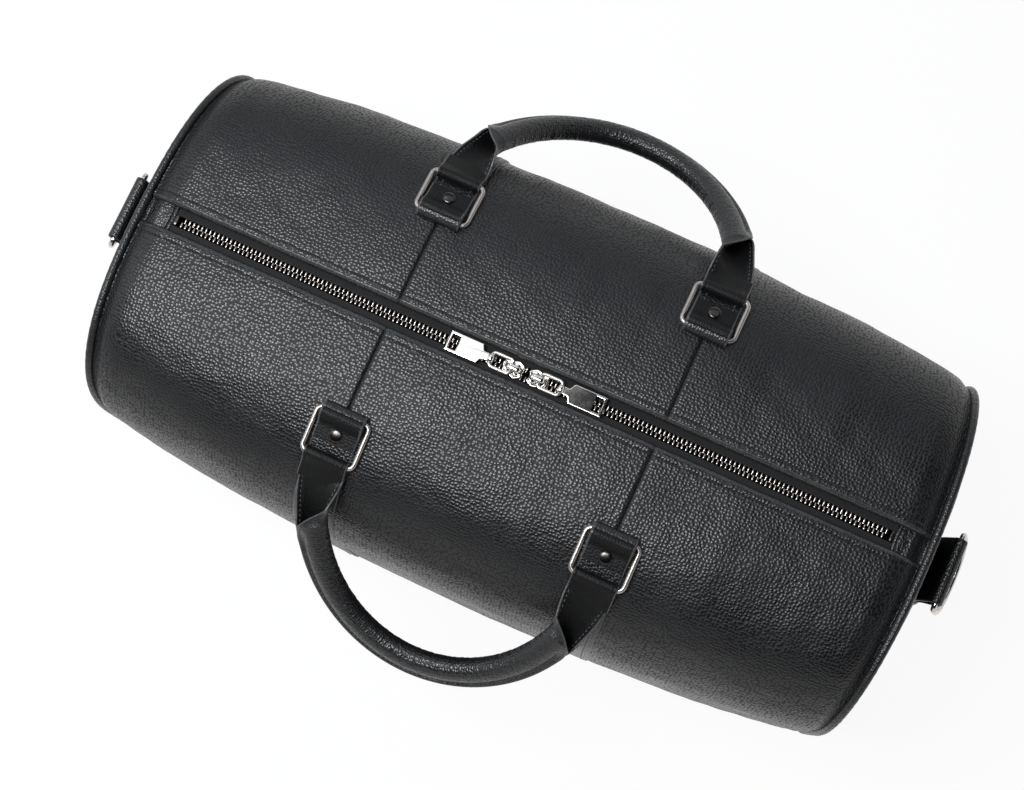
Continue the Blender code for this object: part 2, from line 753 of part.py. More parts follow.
def make_teeth():
    """Two rows of metal teeth that mesh half a pitch apart, each row clamped on a corded edge.

    A row is one comb: a filled outline that steps in and out along the zip.
    """
    reach = ZIP_END_X - STOP_LENGTH - 2 * GAP
    count = int(2 * reach / TOOTH_PITCH) - 1
    cord = TOOTH_ROOT - CORD_WIDTH
    for side, word, phase in ((-1, "front", -TOOTH_PHASE_SHARE), (1, "back", TOOTH_PHASE_SHARE)):
        comb = []
        spine = []
        for tooth in range(count):
            x = (tooth - (count - 1) / 2 + phase) * TOOTH_PITCH
            away = row_parting(x)
            root = TOOTH_LENGTH / 2
            tip = root * TOOTH_TIP_SHARE
            comb += [(x - root, cord + away), (x - tip, away - TOOTH_REACH)]
            comb += [(x + tip, away - TOOTH_REACH), (x + root, cord + away)]
            if tooth in (0, count - 1) or abs(x) < 2 * SLIDER_SPACING:
                spine.append((x + (-root if tooth == 0 else root), TOOTH_ROOT + away))
        outline = [(x, side * y) for x, y in comb + spine[::-1]]
        row = slab(f"zip_teeth_{word}", [outline], -TOOTH_HEIGHT / 2, TOOTH_HEIGHT / 2, PARTS)
        set_place(row, Matrix.Translation((0.0, 0.0, TAPE_HEIGHT)))
        finish_object(row, "nickel")


def make_zip_stops():
    """The bar that ties the two rows at each end of the zip."""
    for sign, word in ((-1, "left"), (1, "right")):
        stop = bmesh.new()
        size = Matrix.Diagonal((STOP_LENGTH, 2 * TOOTH_ROOT, STOP_HEIGHT, 1.0))
        place = Matrix.Translation((sign * (ZIP_END_X - GAP - STOP_LENGTH / 2), 0.0, TAPE_HEIGHT))
        bmesh.ops.create_cube(stop, size=1.0, matrix=place @ size)
        finish_object(shape_object(f"zip_stop_{word}", stop, PARTS), "nickel")


def make_end_patch(name, sign):
    """The leather between a zip end and the rim, with its folded front edge."""
    start = ZIP_END_X + PATCH_FOLD_RADIUS
    half = ZIP_OPENING / 2 - GAP
    sections = []
    for share in PATCH_SHARES:
        x = start + share * (PANEL_END_X - start)
        top = side_surface(x)[0][1] - PATCH_SINK
        low = top - PATCH_THICKNESS
        if share == 0.0:
            top += PATCH_FOLD_RADIUS / 2
            low -= PATCH_FOLD_RADIUS / 2
        outline = [(-half, low), (half, low), (half, top), (-half, top)]
        sections.append(at_x(sign * x, outline))
    return loft(name, sections, "leather")


def slider_outline(grow):
    """A slider's plan, narrow at the tail and wide at the nose, along +X from nose to tail."""
    tail = TOOTH_ROOT + SLIDER_RUN + grow
    nose = SLIDER_THROAT + grow
    back = SLIDER_LENGTH / 2
    if grow <= 0:
        back += CUT_OVERRUN
    chamfer = grow * SLIDER_CHAMFER_SHARE if grow > 0 else 0.0
    half = [(back, tail - chamfer), (back - chamfer, tail), (SLIDER_LENGTH * SLIDER_TAIL_SHARE, tail)]
    half += [(-SLIDER_LENGTH * SLIDER_NOSE_SHARE, nose), (-back + 2 * chamfer, nose), (-back, nose - 3 * chamfer)]
    if chamfer == 0.0:
        half = half[1:5]
    return half + [(x, -y) for x, y in reversed(half)]


def make_slider(name, sign):
    """A slider body: two plates joined by the post, open channels for the rows, and a bail."""
    height = TOOTH_HEIGHT / 2 + SLIDER_RUN
    outer = height + SLIDER_PLATE
    body = slab(name, [slider_outline(SLIDER_WALL)], -outer, outer, PARTS)
    channel = slab(name + "_channel", [slider_outline(0.0)], -height, height, CUTTERS)
    slot = bmesh.new()
    reach = SLIDER_LENGTH + CUT_OVERRUN
    size = Matrix.Diagonal((reach, reach, SLIDER_TAPE_SLOT, 1.0))
    bmesh.ops.create_cube(slot, size=1.0, matrix=size)
    slot = shape_object(name + "_tape_slot", slot, CUTTERS)
    front = -SLIDER_LENGTH / 2 + SLIDER_WALL
    diamond = [
        (front, 0.0),
        (front + POST_LENGTH * POST_WIDEST_SHARE, POST_WIDTH / 2),
        (front + POST_LENGTH, 0.0),
        (front + POST_LENGTH * POST_WIDEST_SHARE, -POST_WIDTH / 2),
    ]
    sunk = height + SLIDER_PLATE * POST_SINK_SHARE
    post = slab(name + "_post", [diamond], -sunk, sunk, CUTTERS)
    bail = slab(name + "_bail", bail_outline(), -BAIL_WIDTH / 2, BAIL_WIDTH / 2, CUTTERS)
    set_place(bail, Matrix.Rotation(math.pi / 2, 4, "X"))
    set_place(bail, Matrix.Translation((0.0, 0.0, outer)))
    combine(body, bail, "UNION")
    combine(body, channel, "DIFFERENCE")
    combine(body, slot, "DIFFERENCE")
    combine(body, post, "UNION")
    place = Matrix.Translation((sign * SLIDER_SPACING / 2, 0.0, TAPE_HEIGHT))
    if sign < 0:
        place = place @ Matrix.Rotation(math.pi, 4, "Z")
    for piece in (body, channel, slot, post, bail):
        set_place(piece, place)
    made = bpy.data.objects.new(name, evaluated_mesh(body, name))
    for piece in (body, channel, slot, post, bail):
        bpy.data.objects.remove(piece, do_unlink=True)
    made.name = name
    PARTS.objects.link(made)
    return finish_object(made, "nickel", (sign * SLIDER_SPACING / 2, 0.0, TAPE_HEIGHT))


def bail_height():
    """Clear height under the bail, for the link's wire."""
    return 2 * LINK_WIRE_RADIUS + 2 * SLIDER_RUN


def bail_outline():
    """The bail's arch from the side, its feet sunk in the slider's top plate."""
    foot = -SLIDER_PLATE / 2
    clear = bail_height()
    outside = BAIL_LENGTH / 2
    inside = outside - BAIL_WALL
    top = clear + BAIL_WALL
    shoulder = clear - BAIL_WALL / 4
    return [
        [
            (outside, foot),
            (outside, shoulder),
            (outside - BAIL_WALL, top),
            (-outside + BAIL_WALL, top),
            (-outside, shoulder),
            (-outside, foot),
            (-inside, foot),
            (-inside, clear - BAIL_WALL / 2),
            (-inside + BAIL_WALL / 2, clear),
            (inside - BAIL_WALL / 2, clear),
            (inside, clear - BAIL_WALL / 2),
            (inside, foot),
        ]
    ]


def link_axis_height():
    """Height of the link's wire in the bail, and of the pull's knuckle at rest."""
    plate_top = TAPE_HEIGHT + TOOTH_HEIGHT / 2 + SLIDER_RUN + SLIDER_PLATE
    return plate_top + bail_height() / 2


def link_near_x():
    """Distance from the middle to the link's hinge in the bail."""
    return SLIDER_SPACING / 2 + BAIL_LENGTH / 2 - BAIL_WALL - LINK_WIRE_RADIUS - SLIDER_RUN


def link_far_x():
    """Distance from the middle to the pull's hinge on the link."""
    return link_near_x() + LINK_LENGTH


def make_link(name, sign):
    """The wire link between bail and pull, its origin on the wire in the bail."""
    outline = rounded_rectangle(LINK_LENGTH, LINK_WIDTH, LINK_CORNER, steps=2)
    middle = sign * (link_near_x() + LINK_LENGTH / 2)
    points = [(middle + x, y, link_axis_height()) for x, y in outline]
    origin = (sign * link_near_x(), 0.0, link_axis_height())
    return tube(name, points, LINK_WIRE_RADIUS, "nickel", closed=True, resolution=1, origin=origin)


def make_pull(name, sign):
    """The flat pull: a knuckle round the link, a tongue, shoulders and a plate with a window."""
    wide = PULL_WIDTH / 2
    slim = PULL_TONGUE_WIDTH / 2
    neck = PULL_TONGUE_LENGTH
    start = PULL_KNUCKLE_RADIUS * PULL_START_SHARE
    outline = [
        (start, -slim),
        (neck, -slim),
        (neck + PULL_SHOULDER, -wide),
        (PULL_LENGTH, -wide),
        (PULL_LENGTH, wide),
        (neck + PULL_SHOULDER, wide),
        (neck, slim),
        (start, slim),
    ]
    far = PULL_LENGTH - PULL_WINDOW_INSET
    near = far - PULL_WINDOW_LENGTH
    half = PULL_WINDOW_WIDTH / 2
    window = [(near, -half), (near, half), (far, half), (far, -half)]
    plate = slab(name, [outline, window], -PULL_THICKNESS / 2, PULL_THICKNESS / 2, PARTS)
    knuckle = cylinder_cutter(name + "_knuckle", PULL_KNUCKLE_RADIUS, (0.0, -slim, 0.0), (0.0, slim, 0.0), 12)
    bore_radius = LINK_WIRE_RADIUS + GAP
    reach = wide + CUT_OVERRUN
    bore = cylinder_cutter(name + "_bore", bore_radius, (0.0, -reach, 0.0), (0.0, reach, 0.0), 12)
    combine(plate, knuckle, "UNION")
    combine(plate, bore, "DIFFERENCE")
    made = bpy.data.objects.new(name, evaluated_mesh(plate, name))
    for piece in (plate, knuckle, bore):
        bpy.data.objects.remove(piece, do_unlink=True)
    made.name = name
    PARTS.objects.link(made)
    place = Matrix.Translation((sign * link_far_x(), 0.0, link_axis_height()))
    if sign < 0:
        place = place @ Matrix.Rotation(math.pi, 4, "Z")
    set_place(made, place)
    return finish_object(made, "nickel", (sign * link_far_x(), 0.0, link_axis_height()))


def along_surface(x):
    """The side's section at a station with the distance of each point from its top."""
    path = side_surface(x)
    return path, np.concatenate([[0.0], np.cumsum(np.linalg.norm(np.diff(path, axis=0), axis=1))])


def on_surface(x, distance, height):
    """The (y, z) point so far along the section and so high off it, with the outward normal."""
    path, along = along_surface(x)
    step = int(np.clip(np.searchsorted(along, distance, side="right") - 1, 0, len(path) - 2))
    run = (path[step + 1] - path[step]) / (along[step + 1] - along[step])
    normal = np.array([-run[1], run[0]])
    return path[step] + run * (distance - along[step]) + normal * height, normal


def inner_bar_distance(x):
    """Distance along the section from the top to below the ring's inner bar."""
    path, along = along_surface(x)
    return float(np.interp(RING_INNER_Y, path[:, 0], along))


def layer_points(x, start, stop, height):
    """A layer of strap at a height off the section, following its bends between two distances."""
    path, along = along_surface(x)
    normals = mitre_normals(path)
    points = [on_surface(x, start, height)[0]]
    inside = [knot for knot in range(len(path)) if min(start, stop) < along[knot] < max(start, stop)]
    if start > stop:
        inside.reverse()
    points += [path[knot] + normals[knot] * height for knot in inside]
    points.append(on_surface(x, stop, height)[0])
    return points


BAR_HEIGHT = GAP + STRAP + RUN_GAP + RING_WIRE_RADIUS
STRAP_FOLD_RADIUS = RING_WIRE_RADIUS + RUN_GAP + STRAP / 2
OUTER_BAR_HEIGHT = GAP + STRAP + GAP + HANDLE_BAND + RUN_GAP + RING_WIRE_RADIUS


def strap_path(x, bar):
    """Middle line of a ring strap: up the side, round the inner bar and back as a flap."""
    path, along = along_surface(x)
    lower = GAP + STRAP / 2
    flap = lower + STRAP + LAYER_GAP
    end_margin = GAP
    points = layer_points(x, along[-1] - end_margin, bar, lower)[:-1]
    centre, normal = on_surface(x, bar, BAR_HEIGHT)
    inward = np.array([-normal[1], normal[0]])
    for turn in (-90, -45, 0, 45, 90):
        angle = math.radians(turn)
        offset = inward * math.cos(angle) + normal * math.sin(angle)
        points.append(centre + offset * STRAP_FOLD_RADIUS)
    points += layer_points(x, bar + FLAP_SETTLE, bar + FLAP_LENGTH, flap)
    return np.array(points)


def make_strap(name, side, sign):
    """A ring strap, lofted between its two edges so that it follows the body."""
    sections = []
    bar = inner_bar_distance(STATION_X)
    for x in (STATION_X - STRAP_WIDTH / 2, STATION_X + STRAP_WIDTH / 2):
        outline = strip_outline(strap_path(x, bar), STRAP / 2, STRAP / 2)
        sections.append(at_x(sign * x, outline, side))
    strap = loft(name, sections, "strap_leather")
    foot, normal = on_surface(STATION_X, bar + RIVET_FROM_BAR, 0.0)
    top = foot + normal * (GAP + 2 * STRAP + LAYER_GAP + CUT_OVERRUN)
    low = foot + normal * GAP / 2
    ends = [(sign * STATION_X, side * point[0], point[1]) for point in (low, top)]
    combine(strap, cylinder_cutter(name + "_rivet_hole", RIVET_SHANK_RADIUS + GAP, *ends), "DIFFERENCE")


def make_rivets():
    """The domed rivets that hold the strap flaps, with their shanks through both layers."""
    head = GAP + 2 * STRAP + LAYER_GAP + GAP
    profile = [
        (0.0, head + RIVET_HEIGHT),
        *[(RIVET_RADIUS * wide, head + RIVET_HEIGHT * high) for wide, high in RIVET_SHARES],
        (RIVET_RADIUS, head),
        (RIVET_SHANK_RADIUS, head),
        (RIVET_SHANK_RADIUS, 2 * GAP),
        (0.0, 2 * GAP),
    ]
    bar = inner_bar_distance(STATION_X)
    foot, normal = on_surface(STATION_X, bar + RIVET_FROM_BAR, 0.0)
    for side, side_name in ((-1, "front"), (1, "back")):
        axis = Vector((0.0, side * normal[0], normal[1]))
        turn = axis.to_track_quat("Z", "Y").to_matrix().to_4x4()
        for sign, end_name in ((-1, "left"), (1, "right")):
            place = Matrix.Translation((sign * STATION_X, side * foot[0], foot[1])) @ turn
            turned(f"strap_rivet_{side_name}_{end_name}", profile, "gunmetal", place)


def ring_bars():
    """The (y, z) points of a ring's inner and outer bar at rest on the strap."""
    bar = inner_bar_distance(STATION_X)
    inner = on_surface(STATION_X, bar, BAR_HEIGHT)[0]
    low = bar + RING_LENGTH / 2
    high = bar + 2 * RING_LENGTH
    for _ in range(40):
        middle = (low + high) / 2
        outer = on_surface(STATION_X, middle, OUTER_BAR_HEIGHT)[0]
        if np.linalg.norm(outer - inner) < RING_LENGTH:
            low = middle
        else:
            high = middle
    return inner, outer


def make_ring(name, side, sign):
    """A rectangular wire ring, its origin on the bar in the strap's fold."""
    inner, outer = ring_bars()
    run = (outer - inner) / RING_LENGTH
    points = []
    for y, x in rounded_rectangle(RING_LENGTH, RING_WIDTH, RING_CORNER, steps=2):
        place = inner + run * (y + RING_LENGTH / 2)
        points.append((sign * STATION_X + x, side * place[0], place[1]))
    origin = (sign * STATION_X, side * inner[0], inner[1])
    return tube(name, points, RING_WIRE_RADIUS, "gunmetal", closed=True, resolution=2, origin=origin)


def handle_lean():
    """Angle below level at which a hanging handle comes to lean on the shoulder."""
    hinge = ring_bars()[1]
    under = HANDLE_BAND + LAYER_GAP / 2
    path, along = along_surface(STATION_X)
    lean = math.pi / 2
    for distance in np.linspace(along[1], along[-1], 400):
        point, normal = on_surface(STATION_X, distance, GAP + STRAP + 2 * GAP)
        away = point - hinge
        if away[0] <= 2 * RING_WIRE_RADIUS:
            continue
        reach = np.linalg.norm(away)
        lean = min(lean, math.atan2(-away[1], away[0]) - math.asin(min(under / reach, 1.0)))
    return lean


def handle_place(side):
    """Matrix from the handle's own axes (x, out from the ring, off its plane) to the bag."""
    hinge = ring_bars()[1]
    lean = handle_lean()
    out = Vector((0.0, side * math.cos(lean), -math.sin(lean)))
    off = Vector((0.0, side * math.sin(lean), math.cos(lean)))
    place = Matrix.Identity(4)
    for row in range(3):
        place[row][0] = 1.0 if row == 0 else 0.0
        place[row][1] = out[row]
        place[row][2] = off[row]
    place[1][3] = side * hinge[0]
    place[2][3] = hinge[1]
    return place


def roll_section(closing):
    """Middle line of the handle's strip at a stage of its roll, as (outward, off-plane) points.

    The strip's edges are a list of lengths and directions. Closed, they are a flange, a round
    and the flange back; each stage turns them by its share of the closed directions.
    """
    radius = HANDLE_ROLL_RADIUS
    half_gap = (HANDLE_BAND + LAYER_GAP) / 2
    neck = math.asin(half_gap / radius)
    step = (2 * math.pi - 2 * neck) / ROLL_EDGES
    chord = 2 * radius * math.sin(step / 2)
    lengths = [HANDLE_FLANGE] + [chord] * ROLL_EDGES + [HANDLE_FLANGE]
    turns = [0.0] + [neck - math.pi / 2 + (edge + 0.5) * step for edge in range(ROLL_EDGES)] + [math.pi]
    width = STRAP_WIDTH + closing ** 2 * (sum(lengths) - STRAP_WIDTH)
    scale = width / sum(lengths)
    closed_edge = radius * math.cos(neck) + HANDLE_FLANGE
    point = np.array(
        [
            (1.0 - closing) * STRAP_WIDTH / 2 + closing * closed_edge,
            closing * (radius - half_gap),
        ]
    )
    points = [point]
    for length, turn in zip(lengths, turns):
        angle = closing * turn
        point = point + scale * length * np.array([-math.cos(angle), math.sin(angle)])
        points.append(point)
    return np.array(points)


def handle_stations():
    """Angles along the half-ellipse of the rolled part, with how far each is closed."""
    outs = [HANDLE_SETTLE, POCKET_START]
    stages = [0.0, 0.0]
    for share in POCKET_SHARES:
        outs.append(POCKET_START + share * (POCKET_END - POCKET_START))
        stages.append(smooth(share))
    left = [(math.asin(out / HANDLE_REACH), stage) for out, stage in zip(outs, stages)]
    closed = left[-1][0]
    steps = 9
    middle = [(closed + (math.pi - 2 * closed) * step / steps, 1.0) for step in range(1, steps)]
    return left + middle + [(math.pi - angle, stage) for angle, stage in reversed(left)]


def handle_end_sections():
    """Sections of the left end: the flap on top and its turn round the ring's bar."""
    level = (HANDLE_BAND + LAYER_GAP) / 2
    radius = RING_WIRE_RADIUS + RUN_GAP + HANDLE_BAND / 2
    path = [(HANDLE_END_FLAP, level), (HANDLE_SETTLE, level)]
    for turn in (90, 135, 180, 225, 270):
        angle = math.radians(turn)
        path.append((radius * math.cos(angle), radius * math.sin(angle)))
    path += [(HANDLE_SETTLE, -level), (POCKET_START, -level)]
    path = np.array(path)
    normals = mitre_normals(path)
    strip = roll_section(0.0)[:, 0]
    sections = []
    for (out, off), normal in list(zip(path, normals))[:-2]:
        ring = []
        for face in (-1, 1):
            across = strip if face < 0 else strip[::-1]
            for value in across:
                shift = face * HANDLE_BAND / 2
                ring.append((-STATION_X - value, out + normal[0] * shift, off + normal[1] * shift))
        sections.append(np.array(ring))
    return sections


def sagged(points):
    """Points of the handle let down from its plane, more the further they are from the ring."""
    points = np.array(points, float)
    past = points[:, 1] - SAG_START
    points[:, 2] -= math.tan(HANDLE_SAG) * (past + np.sqrt(past ** 2 + HANDLE_SETTLE ** 2)) / 2
    start = math.tan(HANDLE_SAG) * (math.sqrt(SAG_START ** 2 + HANDLE_SETTLE ** 2) - SAG_START) / 2
    points[:, 2] += start
    return points


def make_handle(name, side):
    """One handle: a strip that loops round both rings and is rolled and sewn between them."""
    sections = handle_end_sections()
    level = -(HANDLE_BAND + LAYER_GAP) / 2
    for angle, stage in handle_stations():
        x = -STATION_X * math.cos(angle)
        out = HANDLE_REACH * math.sin(angle)
        outward = np.array([-HANDLE_REACH * math.cos(angle), STATION_X * math.sin(angle)])
        outward /= np.linalg.norm(outward)
        outline = strip_outline(roll_section(stage), HANDLE_BAND / 2, HANDLE_BAND / 2)
        ring = [(x + outward[0] * a, out + outward[1] * a, level + b) for a, b in outline]
        sections.append(sagged(ring))
    ends = handle_end_sections()
    sections += [section * np.array([-1.0, 1.0, 1.0]) for section in reversed(ends)]
    place = handle_place(side)
    placed = []
    for section in sections:
        placed.append(np.array([place @ Vector(point) for point in section]))
    origin = place @ Vector((0.0, 0.0, 0.0))
    return loft(name, placed, "strap_leather", origin)


def make_handle_core(name, side):
    """The cord that fills a handle's roll."""
    edge = math.pi / ROLL_EDGES
    radius = HANDLE_ROLL_RADIUS * math.cos(edge) - HANDLE_BAND / 2 - GAP
    off = HANDLE_ROLL_RADIUS - (HANDLE_BAND + LAYER_GAP) / 2
    place = handle_place(side)
    points = []
    for angle, stage in handle_stations():
        if stage == 1.0:
            x = -STATION_X * math.cos(angle)
            out = HANDLE_REACH * math.sin(angle)
            points.append(place @ Vector(sagged([(x, out, off)])[0]))
    return tube(name, points, radius, "core", resolution=2, origin=place @ Vector((0.0, 0.0, 0.0)))


def dome_x(y, z):
    """How far out the end panel's face is at a point."""
    return PIPING_X + bulge_at(end_share(y, z))


D_BAR_X = PIPING_X + D_BAR_STANDOFF
TAB_FOLD_RADIUS = D_WIRE_RADIUS + RUN_GAP + LEATHER / 2


def make_tab(name, sign):
    """The folded tab on an end panel, sewn below and looped over the D-ring's bar."""
    inner = []
    for share in TAB_SHARES:
        z = TAB_BOTTOM_HEIGHT + share * (TAB_SEWN_HEIGHT - TAB_BOTTOM_HEIGHT)
        inner.append(np.array([dome_x(0.0, z) + GAP + LEATHER / 2, z]))
    outer = [point + np.array([LEATHER + LAYER_GAP, 0.0]) for point in inner]
    centre = np.array([D_BAR_X, D_BAR_HEIGHT])
    fold = []
    for turn in (180, 135, 90, 45, 0):
        angle = math.radians(turn)
        fold.append(centre + TAB_FOLD_RADIUS * np.array([math.cos(angle), math.sin(angle)]))
    path = np.array(inner + fold + outer[::-1])
    outline = strip_outline(path, LEATHER / 2, LEATHER / 2)
    sections = []
    for y in (-TAB_WIDTH / 2, TAB_WIDTH / 2):
        sections.append(np.column_stack([sign * outline[:, 0], np.full(len(outline), y), outline[:, 1]]))
    return loft(name, sections, "strap_leather")


def make_d_ring(name, sign):
    """A wire D-ring that hangs outside its tab, its origin on its straight bar."""
    half = D_WIDTH / 2
    points = []
    for y_sign in (-1, 1):
        centre_y = half - D_CORNER
        corner = []
        for turn in (90, 45, 0):
            angle = math.radians(turn)
            corner.append((y_sign * (centre_y + D_CORNER * math.cos(angle)), -D_CORNER + D_CORNER * math.sin(angle)))
        if y_sign < 0:
            corner.reverse()
        points += corner
    bow = []
    steps = 10
    for step in range(1, steps):
        angle = math.pi * step / steps
        drop = D_CORNER * 2 + (D_DROP - D_CORNER * 2) * math.sin(angle) ** D_BOW_POWER
        bow.append((half * math.cos(angle), -drop))
    points += bow
    placed = []
    for y, down in points:
        x = D_BAR_X - down * math.sin(D_LEAN)
        placed.append((sign * x, y, D_BAR_HEIGHT + down * math.cos(D_LEAN)))
    origin = (sign * D_BAR_X, 0.0, D_BAR_HEIGHT)
    return tube(name, placed, D_WIRE_RADIUS, "gunmetal", closed=True, resolution=2, origin=origin)


PARTS, CUTTERS = start_scene()
make_side_panels()
make_base_panel()
make_base_board()
make_feet()
make_lining()
make_tapes()
make_teeth()
make_zip_stops()
for end_sign, end_word in ((-1, "left"), (1, "right")):
    make_end_panel(f"end_panel_{end_word}", end_sign)
    make_piping(f"piping_{end_word}", end_sign)
    make_end_patch(f"zip_end_patch_{end_word}", end_sign)
    make_slider(f"slider_{end_word}", end_sign)
    make_link(f"pull_link_{end_word}", end_sign)
    make_pull(f"pull_plate_{end_word}", end_sign)
    make_tab(f"d_ring_tab_{end_word}", end_sign)
    make_d_ring(f"d_ring_{end_word}", end_sign)
for bag_side, side_word in ((-1, "front"), (1, "back")):
    for end_sign, end_word in ((-1, "left"), (1, "right")):
        make_strap(f"ring_strap_{side_word}_{end_word}", bag_side, end_sign)
        make_ring(f"ring_{side_word}_{end_word}", bag_side, end_sign)
    make_handle(f"handle_{side_word}", bag_side)
    make_handle_core(f"handle_core_{side_word}", bag_side)
make_rivets()
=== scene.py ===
# %% [markdown]
# A leather travel bag, dressed
#
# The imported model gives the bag's solids and its joints. This file makes what the eye wants on
# top of them: pebbled leather that sags a little, rolled handles, sewn edges, a metal zip and
# plated rings. Each piece sits where its solid sits and rides on the same body.

# %% Load the frame
import json
import math

import bmesh
import bpy
import numpy as np
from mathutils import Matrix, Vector


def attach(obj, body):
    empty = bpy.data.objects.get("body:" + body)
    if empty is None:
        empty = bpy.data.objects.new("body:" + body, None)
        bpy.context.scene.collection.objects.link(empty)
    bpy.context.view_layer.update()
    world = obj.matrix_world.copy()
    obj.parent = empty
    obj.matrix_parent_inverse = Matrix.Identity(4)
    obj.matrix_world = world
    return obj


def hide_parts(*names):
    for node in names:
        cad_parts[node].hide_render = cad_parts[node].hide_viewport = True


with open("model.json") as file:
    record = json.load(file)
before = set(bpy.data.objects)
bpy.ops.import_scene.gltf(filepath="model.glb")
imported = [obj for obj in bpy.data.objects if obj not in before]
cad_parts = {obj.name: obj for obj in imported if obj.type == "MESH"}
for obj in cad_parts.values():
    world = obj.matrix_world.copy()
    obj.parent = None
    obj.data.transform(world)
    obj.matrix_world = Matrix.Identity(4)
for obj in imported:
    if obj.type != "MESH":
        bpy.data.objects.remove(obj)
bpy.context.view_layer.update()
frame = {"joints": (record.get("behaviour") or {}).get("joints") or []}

# %% [markdown]
# Sizes
#
# The shapes below are worked out from the same sizes as the solids: the body's section, the
# zip's recess, the straps' stations and the rings' wires. All of them are metres.

# %% The sizes that the pieces share
END_X = 0.250
HALF_WIDTH = 0.1285
END_HALF_WIDTH = 0.113
ZIP_HEIGHT = 0.237
BASE_HEIGHT = 0.007
WIDEST_HEIGHT = 0.125
BASE_SEAM = 0.042
SEAM_GAP = 0.0010
RIM_DROP = 0.0038
RIM_BOW = 0.0080
GROOVE_DEPTH = 0.0024
GROOVE_WIDTH = 0.009
END_BULGE = 0.011
TOP_POWER = 3.3
BASE_POWER = 9.0
BASE_END_POWER = 5.0
WIDTH_POWER = 2.6
DOME_POWER = 2.2
DOME_ROUNDNESS = 0.6
LEATHER = 0.0018
SKIN_WALL = 0.0012
GAP = 0.0003
PIPING_RADIUS = 0.0025
PIPING_SINK = 0.0012
PIPING_X = END_X - PIPING_RADIUS
PANEL_END_X = END_X - 2 * PIPING_RADIUS - GAP
END_INSET = PIPING_SINK + PIPING_RADIUS + GAP
ZIP_END_X = 0.2265
ZIP_OPENING = 0.0170
HEM_RADIUS = 0.0020
HEM_DEPTH = 0.009
HEM_STITCH = 0.0030
TAPE_HEIGHT = 0.2324
TAPE_THICKNESS = 0.0006
TOOTH_ROOT = 0.0033
TOOTH_PITCH = 0.0027
STATION_X = 0.084
STRAP_WIDTH = 0.026
print("body", 2 * END_X, "long,", 2 * HALF_WIDTH, "wide,", ZIP_HEIGHT, "high")

# %% [markdown]
# The studio
#
# The bag is seen from above and a little from the front, on a white floor. Two broad lamps
# stand over its left and middle, so that the front leather shines and the back falls into
# shade. The floor is a wide disc that sweeps up at its rim, as a paper backdrop does. It shows
# plain white to the camera and to reflections only, so it never lights the black leather.

# %% The camera
IMAGE_WIDTH = 1024
PIXEL_FOCAL = 1740
SENSOR = 36
CAMERA_PLACE = (0.1020, -0.1572, 1.2101)
CAMERA_TURN = (0.1758, 0.0362, 0.4284)

scene = bpy.context.scene
scene.view_settings.view_transform = "Standard"
camera_data = bpy.data.cameras.new("camera")
camera_data.sensor_width = SENSOR
camera_data.lens = PIXEL_FOCAL * SENSOR / IMAGE_WIDTH
camera_data.clip_start = 0.01
camera = bpy.data.objects.new("camera", camera_data)
camera.location = CAMERA_PLACE
camera.rotation_euler = CAMERA_TURN
scene.collection.objects.link(camera)
scene.camera = camera
print("camera lens", round(camera_data.lens, 2), "mm")

# %% The lamps and the world
# Each softbox: its name, place, target, width, height, watts and colour.
SOFTBOXES = (
    ("key_softbox", (-0.44, -0.22, 1.45), (-0.44, -0.22, 0), 0.44, 0.50, 17.4, (0.96, 0.98, 1.0)),
    ("second_softbox", (-0.05, -0.17, 1.45), (-0.05, -0.17, 0), 0.46, 0.34, 4.4, (0.96, 0.98, 1.0)),
    ("overhead_panel", (-0.30, 0.25, 1.45), (-0.30, 0.25, 0), 0.34, 0.20, 0.35, (1.0, 1.0, 1.0)),
    ("left_panel", (-1.2, 0, 1.0), (0, 0, 0.15), 0.9, 0.7, 3.9, (0.90, 0.95, 1.0)),
    ("back_low_panel", (0, 1.3, 0.5), (0, 0, 0.12), 1.4, 0.5, 0.8, (0.88, 0.94, 1.0)),
    ("back_panel", (-0.25, 1.00, 1.45), (-0.05, 0, 0.15), 1.9, 0.9, 4.9, (0.84, 0.91, 1.0)),
    ("back_corner_panel", (-0.8, 0.9, 1.45), (-0.4, 0.3, 0.1), 0.5, 0.4, 1.4, (0.85, 0.92, 1.0)),
    ("front_low_panel", (0.2, -1.3, 0.7), (0, 0, 0.12), 1.2, 0.5, 0.7, (1.0, 1.0, 1.0)),
)
for name, place, target, width, height, watts, colour in SOFTBOXES:
    data = bpy.data.lights.new(name, "AREA")
    data.shape = "RECTANGLE"
    data.size = width
    data.size_y = height
    data.energy = watts
    data.color = colour
    softbox = bpy.data.objects.new(name, data)
    softbox.location = place
    softbox.rotation_euler = (Vector(target) - Vector(place)).to_track_quat("-Z", "Y").to_euler()
    scene.collection.objects.link(softbox)

world = bpy.data.worlds.new("studio_world")
world.use_nodes = True
scene.world = world
background = world.node_tree.nodes["Background"]
background.inputs["Color"].default_value = (0.80, 0.86, 0.94, 1.0)
background.inputs["Strength"].default_value = 0.035
print(len(SOFTBOXES), "softboxes of", round(sum(row[5] for row in SOFTBOXES), 1), "watts together")

# %% The floor's shape
FLOOR_FLAT = 3.5
FLOOR_SWEEP = 2.5
FLOOR_SIDES = 64


def ring_quads(rings, sides):
    """Faces between rings of points: each joins a point, the next one and their neighbours."""
    local = np.arange(rings)[:, None] * sides + np.arange(sides)
    beside = np.arange(rings)[:, None] * sides + (np.arange(sides) + 1) % sides
    return np.stack([local, local + sides, beside + sides, beside], axis=-1).reshape(-1, 4)


